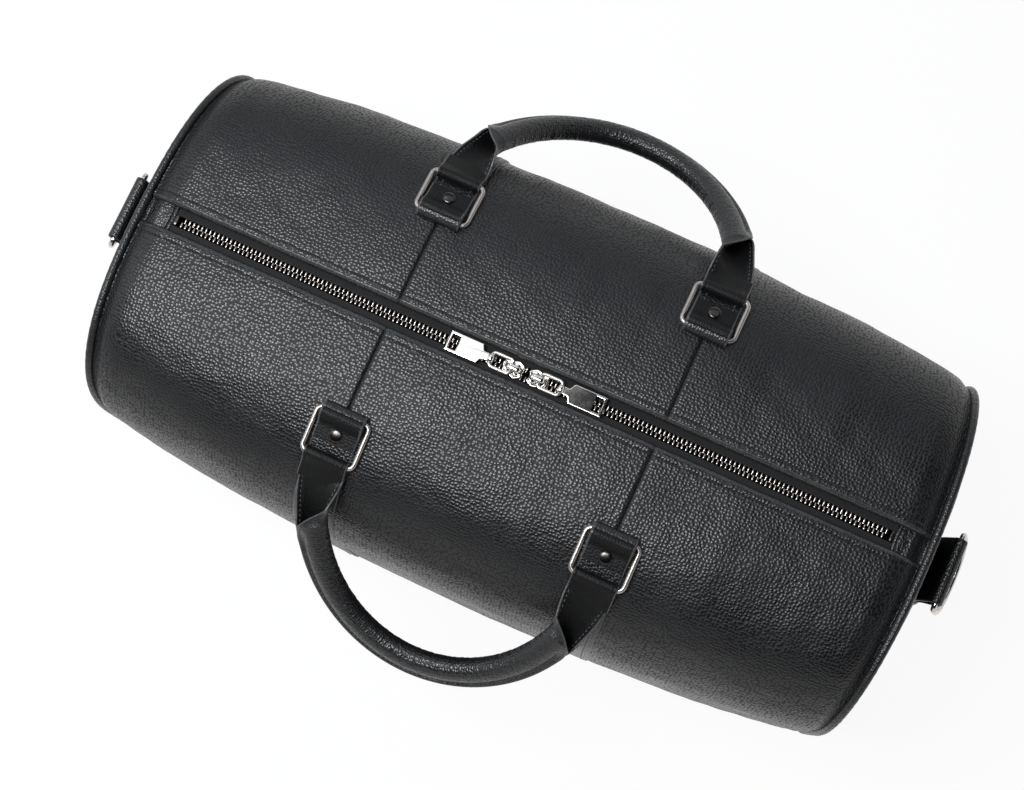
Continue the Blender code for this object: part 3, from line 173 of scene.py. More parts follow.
def floor_disc():
    """A level disc whose rim sweeps up along a quarter circle, and its faces."""
    bend = np.linspace(0, np.pi / 2, 13)
    reach = np.concatenate([[0.02, 1.0], FLOOR_FLAT + FLOOR_SWEEP * np.sin(bend)])[:, None]
    level = np.concatenate([[0.0, 0.0], FLOOR_SWEEP * (1 - np.cos(bend))])[:, None]
    turn = 2 * np.pi * np.arange(FLOOR_SIDES) / FLOOR_SIDES
    points = np.stack([reach * np.cos(turn), reach * np.sin(turn), level + 0 * turn], axis=-1)
    faces = ring_quads(len(reach) - 1, FLOOR_SIDES).tolist() + [list(range(FLOOR_SIDES))]
    return points.reshape(-1, 3).tolist(), faces


floor_points, floor_faces = floor_disc()
floor_mesh = bpy.data.meshes.new("studio_floor")
floor_mesh.from_pydata(floor_points, [], floor_faces)
floor_mesh.shade_smooth()
floor = bpy.data.objects.new("studio_floor", floor_mesh)
scene.collection.objects.link(floor)
print("floor of", len(floor_faces), "faces,", FLOOR_FLAT + FLOOR_SWEEP, "m to its rim")


# %% Small helpers for nodes
def math_node(tree, operation, first, second=None):
    """A Math node between sockets or numbers; returns its output."""
    node = tree.nodes.new("ShaderNodeMath")
    node.operation = operation
    for slot, value in enumerate((first, second)):
        if isinstance(value, (int, float)):
            node.inputs[slot].default_value = value
        elif value is not None:
            tree.links.new(value, node.inputs[slot])
    return node.outputs[0]


def blank_material(name):
    """A new node material, its tree and its Principled shader."""
    material = bpy.data.materials.new(name)
    material.use_nodes = True
    tree = material.node_tree
    return material, tree, tree.nodes["Principled BSDF"]


print("materials and their math nodes can be made")


# %% The floor's paint
PAPER_WHITE = (0.90, 0.90, 0.91, 1.0)
WHITE_SHARE = 0.93

floor_paint, tree, paper = blank_material("white_floor")
paper.inputs["Base Color"].default_value = PAPER_WHITE
paper.inputs["Roughness"].default_value = 0.9
glow = tree.nodes.new("ShaderNodeEmission")
glow.inputs["Color"].default_value = (1.0, 1.0, 1.0, 1.0)
glow.inputs["Strength"].default_value = 1.0
rays = tree.nodes.new("ShaderNodeLightPath").outputs
mirrored = math_node(tree, "MAXIMUM", rays["Is Glossy Ray"], rays["Is Transmission Ray"])
seen = math_node(tree, "MAXIMUM", rays["Is Camera Ray"], mirrored)
blend = tree.nodes.new("ShaderNodeMixShader")
tree.links.new(math_node(tree, "MULTIPLY", seen, WHITE_SHARE), blend.inputs["Fac"])
tree.links.new(paper.outputs["BSDF"], blend.inputs[1])
tree.links.new(glow.outputs["Emission"], blend.inputs[2])
tree.links.new(blend.outputs["Shader"], tree.nodes["Material Output"].inputs["Surface"])
floor_mesh.materials.append(floor_paint)
print("floor paint shows", WHITE_SHARE, "white to the camera and to reflections")

# %% [markdown]
# Grids that become meshes
#
# Almost every piece here is a grid of points: rows along the piece and columns round it. numpy
# works out all the points at once, and one helper turns the grid into a mesh whose UV map
# holds real distances in metres, so that a weave or a grain keeps its size on every piece.


# %% Arrays of points
def unit(vectors):
    """Each vector divided by its own length."""
    return vectors / np.maximum(np.linalg.norm(vectors, axis=-1, keepdims=True), 1e-12)


def stacked(*parts):
    """Points from their parts, each stretched to the shape that fits them all."""
    return np.stack(np.broadcast_arrays(*parts), axis=-1)


def soft_step(share):
    """Eases from 0 to 1: three times the square less twice the cube."""
    share = np.clip(share, 0.0, 1.0)
    return share * share * (3.0 - 2.0 * share)


def bell(distance, width):
    """A bell curve: one at no distance, falling by the exponential of the square over the width."""
    return np.exp(-((distance / width) ** 2))


def squared(wave, power):
    """A wave with fuller shoulders: its sign times a power below one of its size."""
    return np.sign(wave) * np.abs(wave) ** power


def spread(low, high, count):
    """Places between two ends, crowded at both: half the span times one less the cosine."""
    return low + (high - low) * (1.0 - np.cos(np.pi * np.linspace(0, 1, count))) / 2


def unevenness(a, b, size, seed):
    """Soft hills about size long: the mean of six sine waves in directions set by the seed."""
    wave = np.arange(6)
    turns = 0.35 + 1.07 * wave + seed
    rates = 2 * np.pi / size * (0.7 + 0.13 * wave)
    phases = 1.9 * wave * (1 + seed)
    slope = a[..., None] * np.cos(turns) + b[..., None] * np.sin(turns)
    return np.sin(slope * rates + phases).mean(axis=-1)


def whole_turn(steps, start=0.0):
    """Angles of so many even steps round a circle, the first one start steps on."""
    return 2 * np.pi * (np.arange(steps) + start) / steps


def run_lengths(path):
    """The distance along a polyline at each of its points: the running sum of its steps."""
    return np.concatenate([[0.0], np.cumsum(np.linalg.norm(np.diff(path, axis=0), axis=1))])


def read_at(distances, lengths, values):
    """Each column of values, read at distances by linear steps between their lengths."""
    return np.column_stack([np.interp(distances, lengths, column) for column in values.T])


def even_loop(outline, count):
    """A closed outline with its points spaced evenly along it."""
    closed = np.vstack([outline, outline[:1]])
    lengths = run_lengths(closed)
    return read_at(np.linspace(0, lengths[-1], count + 1)[:-1], lengths, closed)


print("hills between", unevenness(*np.mgrid[0:1:0.01, 0:1:0.01], 0.1, 0.4).round(2).min(), "and 1 at most")


# %% From a grid of points to a mesh
SHARP_EDGE = math.radians(50)


def add_piece(name, mesh):
    """An object of a mesh with smooth shading, at the origin."""
    mesh.shade_smooth()
    piece = bpy.data.objects.new(name, mesh)
    scene.collection.objects.link(piece)
    return piece


def grid_piece(name, points, wrap=False, loop=False, caps=False, flip=False, weld=False):
    """A mesh object from rows by columns of points.

    wrap joins the last column to the first and loop the last row to the first. The UV map is
    the distance along the rows and along the columns, in metres.
    """
    rows, columns = points.shape[:2]
    row = np.arange(rows if loop else rows - 1)
    column = np.arange(columns if wrap else columns - 1)
    r, c = np.meshgrid(row, column, indexing="ij")
    corner_rows = np.stack([r, r, r + 1, r + 1], axis=-1).reshape(-1, 4)
    corner_columns = np.stack([c, c + 1, c + 1, c], axis=-1).reshape(-1, 4)
    if flip:
        corner_rows = corner_rows[:, ::-1]
        corner_columns = corner_columns[:, ::-1]
    faces = (corner_rows % rows) * columns + corner_columns % columns
    along = np.linalg.norm(np.diff(points, axis=0, append=points[:1]), axis=-1).mean(axis=1)
    across = np.linalg.norm(np.diff(points, axis=1, append=points[:, :1]), axis=-1).max(axis=0)
    u = np.concatenate([[0.0], np.cumsum(along)])
    v = np.concatenate([[0.0], np.cumsum(across)])
    mesh = bpy.data.meshes.new(name)
    mesh.vertices.add(rows * columns)
    mesh.vertices.foreach_set("co", points.reshape(-1).astype(np.float32))
    mesh.loops.add(faces.size)
    mesh.loops.foreach_set("vertex_index", faces.reshape(-1).astype(np.int32))
    mesh.polygons.add(len(faces))
    mesh.polygons.foreach_set("loop_start", np.arange(0, faces.size, 4, dtype=np.int32))
    mesh.update(calc_edges=True)
    uv = np.stack([u[corner_rows], v[corner_columns]], axis=-1)
    mesh.uv_layers.new(name="surface").data.foreach_set("uv", uv.reshape(-1).astype(np.float32))
    mesh.validate()
    if caps or weld:
        shell = bmesh.new()
        shell.from_mesh(mesh)
        if weld:
            bmesh.ops.remove_doubles(shell, verts=shell.verts, dist=1e-6)
        if caps:
            bmesh.ops.holes_fill(shell, edges=[e for e in shell.edges if e.is_boundary], sides=0)
            bmesh.ops.recalc_face_normals(shell, faces=shell.faces)
        shell.to_mesh(mesh)
        shell.free()
    piece = add_piece(name, mesh)
    mesh.set_sharp_from_angle(angle=SHARP_EDGE)
    return piece


print("edges over", round(math.degrees(SHARP_EDGE)), "degrees stay sharp")


# %% Outward faces, walls and repeated shapes
def outward(piece):
    """Turn a closed mesh's faces outwards."""
    shell = bmesh.new()
    shell.from_mesh(piece.data)
    bmesh.ops.recalc_face_normals(shell, faces=shell.faces)
    shell.to_mesh(piece.data)
    shell.free()
    return piece


def give_wall(piece, thickness, offset=-1.0):
    """A wall of a thickness behind the face, or round it where the offset is none."""
    wall = piece.modifiers.new("wall", "SOLIDIFY")
    wall.thickness = thickness
    wall.offset = offset
    return piece


def repeated_piece(name, points, faces):
    """One mesh of many copies of a small shape: its faces, shifted by each copy's first point."""
    copies = np.arange(len(points))[:, None, None]
    every_face = (faces[None] + points[0].size // 3 * copies).reshape(-1, 4)
    mesh = bpy.data.meshes.new(name)
    mesh.from_pydata(points.reshape(-1, 3).tolist(), [], every_face.tolist())
    return outward(add_piece(name, mesh))


print("piece helpers ready")


# %% Strips, wires and stitches
EDGE_TURNS = [60.0, 30.0, 0.0, -30.0, -60.0]


def strip_rows(middle, normal, thickness):
    """The closed outline of a leather strip in every row of a grid of middle-line points.

    The upper face runs from the first edge to the last, a rounded edge follows, then the lower
    face back and the other edge. Faces lie half a thickness off the middle along the normal.
    """
    half = np.broadcast_to(thickness, middle.shape[:2])[..., None] / 2
    turn = np.radians(EDGE_TURNS)[None, :, None]
    last = unit(middle[:, -1:] - middle[:, -2:-1])
    first = unit(middle[:, :1] - middle[:, 1:2])
    upper = middle + normal * half
    lower = (middle - normal * half)[:, ::-1]
    far = middle[:, -1:] + half[:, -1:] * (np.cos(turn) * last + np.sin(turn) * normal[:, -1:])
    near = middle[:, :1] + half[:, :1] * (np.cos(turn) * first - np.sin(turn) * normal[:, :1])
    return np.concatenate([upper, far, lower, near], axis=1)


def wire(name, path, plane, radius, closed=True, sides=14):
    """A round wire: a circle carried along a path, in the frame of its tangent and a plane's normal."""
    if closed:
        tangent = unit(np.roll(path, -1, axis=0) - np.roll(path, 1, axis=0))
    else:
        tangent = unit(np.gradient(path, axis=0))
    plane = unit(np.broadcast_to(np.asarray(plane, float), path.shape))
    side = unit(np.cross(tangent, plane))
    other = unit(np.cross(side, tangent))
    turn = whole_turn(sides)[None, :, None]
    circle = np.cos(turn) * side[:, None] + np.sin(turn) * other[:, None]
    points = path[:, None] + np.asarray(radius).reshape(-1, 1, 1) * circle
    return outward(grid_piece(name, points, wrap=True, loop=closed, caps=not closed))


STITCH_PLACES = np.array([-0.5, -0.42, -0.2, 0.2, 0.42, 0.5])
STITCH_FATNESS = np.array([0.05, 0.72, 1.0, 1.0, 0.72, 0.05])
STITCH_ENDS = np.array([[0, 1, 2, 5], [2, 3, 4, 5], [30, 35, 32, 31], [32, 35, 34, 33]])


def stitch_row(name, path, normal, pitch=0.0034, length=0.0025, radius=0.00032):
    """A row of stitches along a path: short capsules that dip at both ends.

    A capsule is six rings of six points; its radius is none at the ends, and its height falls
    by the square of the distance from its middle.
    """
    lengths = run_lengths(path)
    count = max(int(lengths[-1] / pitch), 1)
    middles = (np.arange(count) + 0.5) * lengths[-1] / count
    centre = read_at(middles, lengths, path)
    ahead, behind = (read_at(middles + way * length / 4, lengths, path) for way in (1, -1))
    tangent = unit(ahead - behind)
    up = read_at(middles, lengths, normal)
    up = unit(up - tangent * (up * tangent).sum(axis=1, keepdims=True))
    side = np.cross(tangent, up)
    dip = 0.35 * radius - 1.6 * radius * (2 * STITCH_PLACES) ** 2
    turn = whole_turn(6)
    long = (STITCH_PLACES * length)[:, None]
    high = dip[:, None] + STITCH_FATNESS[:, None] * radius * np.sin(turn)
    wide = STITCH_FATNESS[:, None] * radius * np.cos(turn)
    centre, tangent, up, side = (v[:, None, None] for v in (centre, tangent, up, side))
    points = centre + tangent * long[..., None] + up * high[..., None] + side * wide[..., None]
    return repeated_piece(name, points, np.vstack([ring_quads(5, 6), STITCH_ENDS]))


print("a stitch has", len(STITCH_PLACES) * 6, "points")

# %% [markdown]
# Leather, metal and cloth
#
# Full-grain leather gets its look from pebbles about two millimetres across, each with a shine
# of its own, and from the creases between them. One shader group makes the pebbles as round
# domes in scattered cells that noise bends a little; each leather uses it at its own size. A
# border drawn round each cell would be simpler, but it gives flat polygons, as on a football.


# %% More helpers for nodes
def new_group(name, inputs, outputs):
    """An empty shader node group with named value, colour or vector sockets."""
    group = bpy.data.node_groups.new(name, "ShaderNodeTree")
    for label, kind, value in inputs:
        socket = group.interface.new_socket(label, in_out="INPUT", socket_type=kind)
        if value is not None:
            socket.default_value = value
    for label, kind in outputs:
        group.interface.new_socket(label, in_out="OUTPUT", socket_type=kind)
    return group, group.nodes.new("NodeGroupInput"), group.nodes.new("NodeGroupOutput")


def vector_node(tree, operation, first, second):
    """A Vector Math node between a socket and a socket, a number or a triple."""
    node = tree.nodes.new("ShaderNodeVectorMath")
    node.operation = operation
    tree.links.new(first, node.inputs[0])
    slot = node.inputs["Scale"] if operation == "SCALE" else node.inputs[1]
    if isinstance(second, tuple):
        slot.default_value = second
    else:
        tree.links.new(second, slot)
    return node.outputs[0]


def ramp_node(tree, value, low, high, start=0.0, end=1.0):
    """A smooth Map Range from low..high to start..end; returns its output."""
    node = tree.nodes.new("ShaderNodeMapRange")
    node.interpolation_type = "SMOOTHSTEP"
    tree.links.new(value, node.inputs["Value"])
    for label, number in (("From Min", low), ("From Max", high), ("To Min", start), ("To Max", end)):
        node.inputs[label].default_value = number
    return node.outputs["Result"]


def noise_node(tree, vector, scale, detail=2.0, rough=0.5):
    """A noise texture; returns its colour and value outputs."""
    node = tree.nodes.new("ShaderNodeTexNoise")
    tree.links.new(vector, node.inputs["Vector"])
    if isinstance(scale, (int, float)):
        node.inputs["Scale"].default_value = scale
    else:
        tree.links.new(scale, node.inputs["Scale"])
    node.inputs["Detail"].default_value = detail
    node.inputs["Roughness"].default_value = rough
    return node.outputs["Color"], node.outputs["Fac"]


def colour_mix(tree, factor, dark, light):
    """A colour between two, by a factor socket."""
    node = tree.nodes.new("ShaderNodeMix")
    node.data_type = "RGBA"
    tree.links.new(factor, node.inputs["Factor"])
    node.inputs["A"].default_value = (*dark, 1.0)
    node.inputs["B"].default_value = (*light, 1.0)
    return node.outputs["Result"]


def bump_node(tree, height, distance):
    """A Bump node from a height socket; returns its normal."""
    node = tree.nodes.new("ShaderNodeBump")
    node.inputs["Strength"].default_value = 1.0
    node.inputs["Distance"].default_value = distance
    tree.links.new(height, node.inputs["Height"])
    return node.outputs["Normal"]


print("node helpers ready")

# %% The pebble grain, a shader group
FLOAT, VECTOR = "NodeSocketFloat", "NodeSocketVector"
SCATTER = 0.62
BEND = 0.55
BEND_RATE, FINE_RATE, BROAD_RATE = 0.6, 3.1, 0.06
PEBBLE_TOP, PEBBLE_FOOT = 0.08, 0.76


def make_grain_group():
    """Pebbles: cells round scattered seeds, each a low dome that meets its neighbours in a crease.

    Its height falls from the seed outwards by a smooth step of the distance. Noise bends the
    plane a little first, and fine creases go on top.
    """
    tree, give, take = new_group(
        "pebble_grain",
        [("Vector", VECTOR, None), ("Cells per metre", FLOAT, 400.0), ("Crease", FLOAT, 0.25)],
        [("Height", FLOAT), ("Crest", FLOAT), ("Patch", FLOAT)],
    )
    place = give.outputs["Vector"]
    cells = give.outputs["Cells per metre"]
    wobble = noise_node(tree, place, math_node(tree, "MULTIPLY", cells, BEND_RATE), 1.0)[0]
    centred = vector_node(tree, "SUBTRACT", wobble, (0.5, 0.5, 0.5))
    pushed = vector_node(tree, "SCALE", centred, math_node(tree, "DIVIDE", BEND, cells))
    cell = tree.nodes.new("ShaderNodeTexVoronoi")
    cell.voronoi_dimensions = "2D"
    cell.feature = "F1"
    cell.inputs["Randomness"].default_value = SCATTER
    tree.links.new(vector_node(tree, "ADD", place, pushed), cell.inputs["Vector"])
    tree.links.new(cells, cell.inputs["Scale"])
    pebble = ramp_node(tree, cell.outputs["Distance"], PEBBLE_TOP, PEBBLE_FOOT, 1.0, 0.0)
    fine = noise_node(tree, place, math_node(tree, "MULTIPLY", cells, FINE_RATE), 2.0, 0.6)[1]
    creased = math_node(tree, "MULTIPLY", fine, give.outputs["Crease"])
    broad = noise_node(tree, place, math_node(tree, "MULTIPLY", cells, BROAD_RATE), 3.0, 0.55)[1]
    tree.links.new(math_node(tree, "ADD", pebble, creased), take.inputs["Height"])
    tree.links.new(ramp_node(tree, pebble, 0.20, 0.70), take.inputs["Crest"])
    tree.links.new(ramp_node(tree, broad, 0.3, 0.7), take.inputs["Patch"])
    return tree


GRAIN = make_grain_group()
print("pebble grain of", len(GRAIN.nodes), "nodes")


# %% The weave, a shader group
def make_weave_group():
    """A plain weave on a UV map in metres: warp and weft waves that take turns on top."""
    tree, give, take = new_group(
        "plain_weave",
        [("UV", VECTOR, None), ("Threads per metre", FLOAT, 2500.0)],
        [("Height", FLOAT), ("Over", FLOAT)],
    )
    parts = tree.nodes.new("ShaderNodeSeparateXYZ")
    tree.links.new(give.outputs["UV"], parts.inputs[0])
    turns = math_node(tree, "MULTIPLY", give.outputs["Threads per metre"], math.pi)
    warp = math_node(tree, "SINE", math_node(tree, "MULTIPLY", parts.outputs["X"], turns))
    weft = math_node(tree, "SINE", math_node(tree, "MULTIPLY", parts.outputs["Y"], turns))
    over = ramp_node(tree, math_node(tree, "MULTIPLY", warp, weft), -0.2, 0.2)
    mixed = tree.nodes.new("ShaderNodeMix")
    tree.links.new(over, mixed.inputs["Factor"])
    tree.links.new(math_node(tree, "ABSOLUTE", warp), mixed.inputs["A"])
    tree.links.new(math_node(tree, "ABSOLUTE", weft), mixed.inputs["B"])
    tree.links.new(mixed.outputs["Result"], take.inputs["Height"])
    tree.links.new(over, take.inputs["Over"])
    return tree


WEAVE = make_weave_group()
print("weave of", len(WEAVE.nodes), "nodes")


# %% Leather and cloth
def group_on_surface(tree, group, socket):
    """A shader group that reads the piece's own UV map, which is in metres."""
    place = tree.nodes.new("ShaderNodeUVMap")
    place.uv_map = "surface"
    node = tree.nodes.new("ShaderNodeGroup")
    node.node_tree = group
    tree.links.new(place.outputs["UV"], node.inputs[socket])
    return node


def leather(name, cells, depth, dark, light, smooth_rough, dull_rough, crease=0.10, gloss=0.5):
    """Pebbled leather on the UV map: darker and duller in the creases, shinier on the crests."""
    material, tree, shader = blank_material(name)
    grain = group_on_surface(tree, GRAIN, "Vector")
    grain.inputs["Cells per metre"].default_value = cells
    grain.inputs["Crease"].default_value = crease
    # The colour runs from the crease colour in the creases to the crest colour on the crests: painted shade
    # in the creases.
    tint = colour_mix(tree, grain.outputs["Crest"], dark, light)
    faded = tree.nodes.new("ShaderNodeMix")
    faded.data_type = "RGBA"
    faded.blend_type = "MULTIPLY"
    faded.inputs["Factor"].default_value = 1.0
    tree.links.new(tint, faded.inputs["A"])
    shade = ramp_node(tree, grain.outputs["Patch"], 0.0, 1.0, 0.82, 1.12)
    tree.links.new(shade, faded.inputs["B"])
    tree.links.new(faded.outputs["Result"], shader.inputs["Base Color"])
    worn = ramp_node(tree, grain.outputs["Patch"], 0.0, 1.0, -0.03, 0.04)
    rough = ramp_node(tree, grain.outputs["Crest"], 0.0, 1.0, dull_rough, smooth_rough)
    tree.links.new(math_node(tree, "ADD", rough, worn), shader.inputs["Roughness"])
    tree.links.new(bump_node(tree, grain.outputs["Height"], depth), shader.inputs["Normal"])
    shader.inputs["Specular IOR Level"].default_value = gloss
    return material


def woven_cloth(name, threads, depth, dark, light, rough):
    """Woven cloth on the piece's own UV map."""
    material, tree, shader = blank_material(name)
    weave = group_on_surface(tree, WEAVE, "UV")
    weave.inputs["Threads per metre"].default_value = threads
    # The threads' tops take the light colour and the hollows between them the dark one: painted shade between
    # the threads.
    tree.links.new(colour_mix(tree, weave.outputs["Height"], dark, light), shader.inputs["Base Color"])
    sheen = ramp_node(tree, weave.outputs["Over"], 0.0, 1.0, rough, rough - 0.08)
    tree.links.new(sheen, shader.inputs["Roughness"])
    tree.links.new(bump_node(tree, weave.outputs["Height"], depth), shader.inputs["Normal"])
    return material


print("leather and cloth ready")


# %% Metal, thread and board
RUB_RATE, HAZE_RATE, TWIST_RATE, FLECK_RATE = 260.0, 900.0, 3800.0, 900.0


def on_object(tree, *noise):
    """A noise value on Object coordinates."""
    place = tree.nodes.new("ShaderNodeTexCoord")
    return noise_node(tree, place.outputs["Object"], *noise)[1]


def plated_metal(name, tint, rough, wear=0.06):
    """Plated metal: a tinted mirror with faint rubbing in its roughness and colour."""
    material, tree, shader = blank_material(name)
    rub = on_object(tree, RUB_RATE, 4.0, 0.6)
    haze = on_object(tree, HAZE_RATE, 2.0, 0.5)
    darker = tuple(0.78 * part for part in tint)
    tree.links.new(colour_mix(tree, rub, darker, tint), shader.inputs["Base Color"])
    tree.links.new(ramp_node(tree, rub, 0.3, 0.75, rough, rough + wear), shader.inputs["Roughness"])
    tree.links.new(bump_node(tree, haze, 0.00001), shader.inputs["Normal"])
    shader.inputs["Metallic"].default_value = 1.0
    return material


def fibre_material(name, dark, light, rate, noise, span, rough, depth):
    """Thread, board or cord: fine noise in the colour, in the roughness over a span, and in the height."""
    material, tree, shader = blank_material(name)
    fleck = on_object(tree, rate, *noise)
    tree.links.new(colour_mix(tree, fleck, dark, light), shader.inputs["Base Color"])
    tree.links.new(ramp_node(tree, fleck, *span, *rough), shader.inputs["Roughness"])
    tree.links.new(bump_node(tree, fleck, depth), shader.inputs["Normal"])
    return material


print("metal, thread and board ready")

# %% The finishes of this bag
# BLACK_CREASE is the leather's black darkened as painted shade for the pebbles' creases; BLACK_CREST is the
# crests' black.
BLACK_CREASE = (0.0016, 0.0017, 0.0020)
BLACK_CREST = (0.0052, 0.0055, 0.0066)
# The hem's colours are far lighter than the body's black: a painted highlight along the zip's rolled fold.
HEM_HIGHLIGHT_COLOURS = (0.012, 0.012, 0.013), (0.028, 0.029, 0.031)
# The edge colours are lighter than the leather's black: a painted highlight on the strips' rounded rims.
EDGE_HIGHLIGHT_COLOURS = (0.026, 0.026, 0.028), (0.066, 0.066, 0.070)
TAPE_COLOURS = (0.0012, 0.0012, 0.0014), (0.0050, 0.0050, 0.0055)
LINING_COLOURS = (0.016, 0.016, 0.018), (0.034, 0.034, 0.038)
# The thread's colours run up to a mid grey, lighter than black waxed thread: a painted sheen so the stitches
# show as pale dots.
THREAD_SHEEN_COLOURS = (0.020, 0.020, 0.021), (0.110, 0.110, 0.112)
BOARD_COLOURS = (0.035, 0.030, 0.025), (0.085, 0.076, 0.064)
CORD_COLOURS = (0.10, 0.095, 0.085), (0.20, 0.19, 0.17)
BLACK = BLACK_CREASE, BLACK_CREST
# The crease colour on the crests too: painted shade for the strap flaps in the rings' openings and the
# handles' pockets.
SHADE_BLACK = BLACK_CREASE, BLACK_CREASE

BODY_LEATHER = leather("pebbled_body_leather", 480.0, 0.00020, *BLACK, 0.29, 0.62, crease=0.08, gloss=0.42)
HEM_HIGHLIGHT_LEATHER = leather("rolled_hem_painted_highlight", 620.0, 0.00007, *HEM_HIGHLIGHT_COLOURS, 0.30, 0.42, gloss=0.6)
STRAP_LEATHER = leather("pebbled_strap_leather", 580.0, 0.00018, *BLACK, 0.30, 0.50, crease=0.08, gloss=0.55)
PIPING_LEATHER = leather("piping_leather", 560.0, 0.00016, *BLACK, 0.30, 0.55)
PAINTED_SHADE_LEATHER = leather("painted_shade_leather", 560.0, 0.00016, *SHADE_BLACK, 0.50, 0.60, gloss=0.22)
EDGE_PAINT_HIGHLIGHT = leather("edge_paint_with_painted_highlight", 900.0, 0.00006, *EDGE_HIGHLIGHT_COLOURS, 0.34, 0.46)
SATIN = plated_metal("satin_nickel_plate", (0.46, 0.42, 0.39), 0.30)
DARK_METAL = plated_metal("black_nickel_plate", (0.07, 0.066, 0.062), 0.20)
TOOTH_METAL = plated_metal("zip_tooth_metal", (0.52, 0.47, 0.44), 0.20)
NICKEL = plated_metal("nickel_plate", (0.80, 0.77, 0.73), 0.09, 0.05)
GUNMETAL = plated_metal("dark_nickel_plate", (0.62, 0.58, 0.56), 0.14)
TAPE_CLOTH = woven_cloth("zip_tape_weave", 1500.0, 0.00016, *TAPE_COLOURS, 0.88)
LINING_CLOTH = woven_cloth("lining_weave", 1500.0, 0.00010, *LINING_COLOURS, 0.82)
THREAD = fibre_material(
    "waxed_black_thread_painted_sheen", *THREAD_SHEEN_COLOURS, TWIST_RATE, (2.0, 0.6), (0.3, 0.7), (0.42, 0.6), 0.00008
)
BOARD = fibre_material(
    "pressed_fibreboard", *BOARD_COLOURS, FLECK_RATE, (4.0, 0.65), (0.2, 0.8), (0.82, 0.92), 0.0002
)
CORD = fibre_material("handle_cord", *CORD_COLOURS, FLECK_RATE, (4.0, 0.65), (0.2, 0.8), (0.86, 0.96), 0.0002)
print("materials:", len(bpy.data.materials))


# %% Putting a finish on a piece
def dress(piece, body, material, *nodes):
    """Give a piece its finish, let it ride on its body and hide the solids it stands for."""
    if not piece.data.materials:
        piece.data.materials.append(material)
    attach(piece, body)
    if nodes:
        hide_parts(*nodes)
    return piece


def edge_highlight_and_inner_shade(strip, columns, shaded_flesh=None):
    """Give the edges of a strip made by strip_rows edge paint, lighter as a painted highlight on their rims,
    and give its inner face the hide's back, darker as painted shade.
    """
    strip.data.materials.append(EDGE_PAINT_HIGHLIGHT)
    highlight_slot = len(strip.data.materials) - 1
    place = np.arange(len(strip.data.polygons)) % (2 * columns + 10)
    edge = ((place >= columns - 1) & (place < columns + 5)) | (place >= 2 * columns + 4)
    index = np.zeros(len(place), np.int32)
    strip.data.polygons.foreach_get("material_index", index)
    # The inner face gets the darker leather: painted shade inside the handle's pocket, on the hide's back.
    if shaded_flesh is not None:
        strip.data.materials.append(shaded_flesh)
        index[(place >= columns + 5) & (place < 2 * columns + 4)] = len(strip.data.materials) - 1
    # Edges and end caps get the lighter edge colour: a painted highlight on the rims.
    index[edge] = highlight_slot
    index[-2:] = highlight_slot
    strip.data.polygons.foreach_set("material_index", index)


print("pieces can be dressed")


# %% [markdown]
# The body's skin
#
# The section of the bag is a superellipse: rounder above its widest line, boxy below it over
# the base board. Written in polar form, every point of the skin comes from a place along the
# bag and an angle round it, so whole panels are one array. The leather dips at the seams, is
# rolled at the zip and sags a millimetre here and there, as soft leather does over its filling.


# %% The skin as a function of place and angle
def half_width(x):
    """Half the body's width: the end's, plus the rest by one less a power of the place."""
    return END_HALF_WIDTH + (HALF_WIDTH - END_HALF_WIDTH) * (1.0 - (np.abs(x) / END_X) ** WIDTH_POWER)


def top_height(x):
    """The top line: level over the zip, lower at the rims by an eased step."""
    return ZIP_HEIGHT - RIM_DROP * soft_step((np.abs(x) - ZIP_END_X) / (PANEL_END_X - ZIP_END_X))


def base_power(x):
    """The lower half's exponent: nine at mid length, five at the ends, by the square."""
    return BASE_POWER + (BASE_END_POWER - BASE_POWER) * (x / END_X) ** 2


def end_groove(x):
    """How far the leather is drawn in beside an end seam."""
    return GROOVE_DEPTH * soft_step((np.abs(x) - PANEL_END_X + GROOVE_WIDTH) / GROOVE_WIDTH)


def bowed(x, y):
    """A place's x after the rim's bow: drawn back by the cube of the place and the square of y."""
    return x - np.sign(x) * RIM_BOW * (np.abs(x) / END_X) ** 3 * (y / END_HALF_WIDTH) ** 2


def skin(x, angle, inset):
    """(y, z) of the section at x: the superellipse's radius in a direction, 0 up, pi down."""
    upper = angle <= np.pi / 2
    power = np.where(upper, TOP_POWER, base_power(x))
    reach = half_width(x) - inset
    rise = np.where(upper, top_height(x) - WIDEST_HEIGHT, WIDEST_HEIGHT - BASE_HEIGHT) - inset
    across = np.abs(np.sin(angle)) / reach
    up = np.abs(np.cos(angle)) / rise
    radius = (across ** power + up ** power) ** (-1.0 / power)
    return radius * np.sin(angle), WIDEST_HEIGHT + radius * np.cos(angle)


def whole_section(x, angle, inset):
    """(y, z) of the section in directions all the way round: the second half mirrors the first."""
    y, z = skin(x, np.minimum(angle, 2 * np.pi - angle), inset)
    return np.where(angle <= np.pi, y, -y), z


print("section at the middle:", round(2 * float(half_width(0.0)), 4), "wide")


# %% Finding places on the skin, and its unevenness
HOLLOW_DEPTH, HOLLOW_SIZE = 0.0011, 0.085
DENT_DEPTH, DENT_SIZE = 0.00035, 0.022
PUCKER_DEPTH, PUCKER_SIZE, PUCKER_REACH = 0.00055, 0.011, 0.012
STRAP_HOLD, STRAP_REACH = 0.75, 0.016
STATION_VALLEY = (0.0013, 0.0011)
BASE_VALLEY = (0.0012, 0.0014)


def angle_at_width(x, across):
    """The direction of the upper skin's point that is so far from the middle."""
    reach = half_width(x) - end_groove(x)
    rise = top_height(x) - end_groove(x) - WIDEST_HEIGHT
    up = rise * (1.0 - (across / reach) ** TOP_POWER) ** (1.0 / TOP_POWER)
    return np.arctan2(across, up)


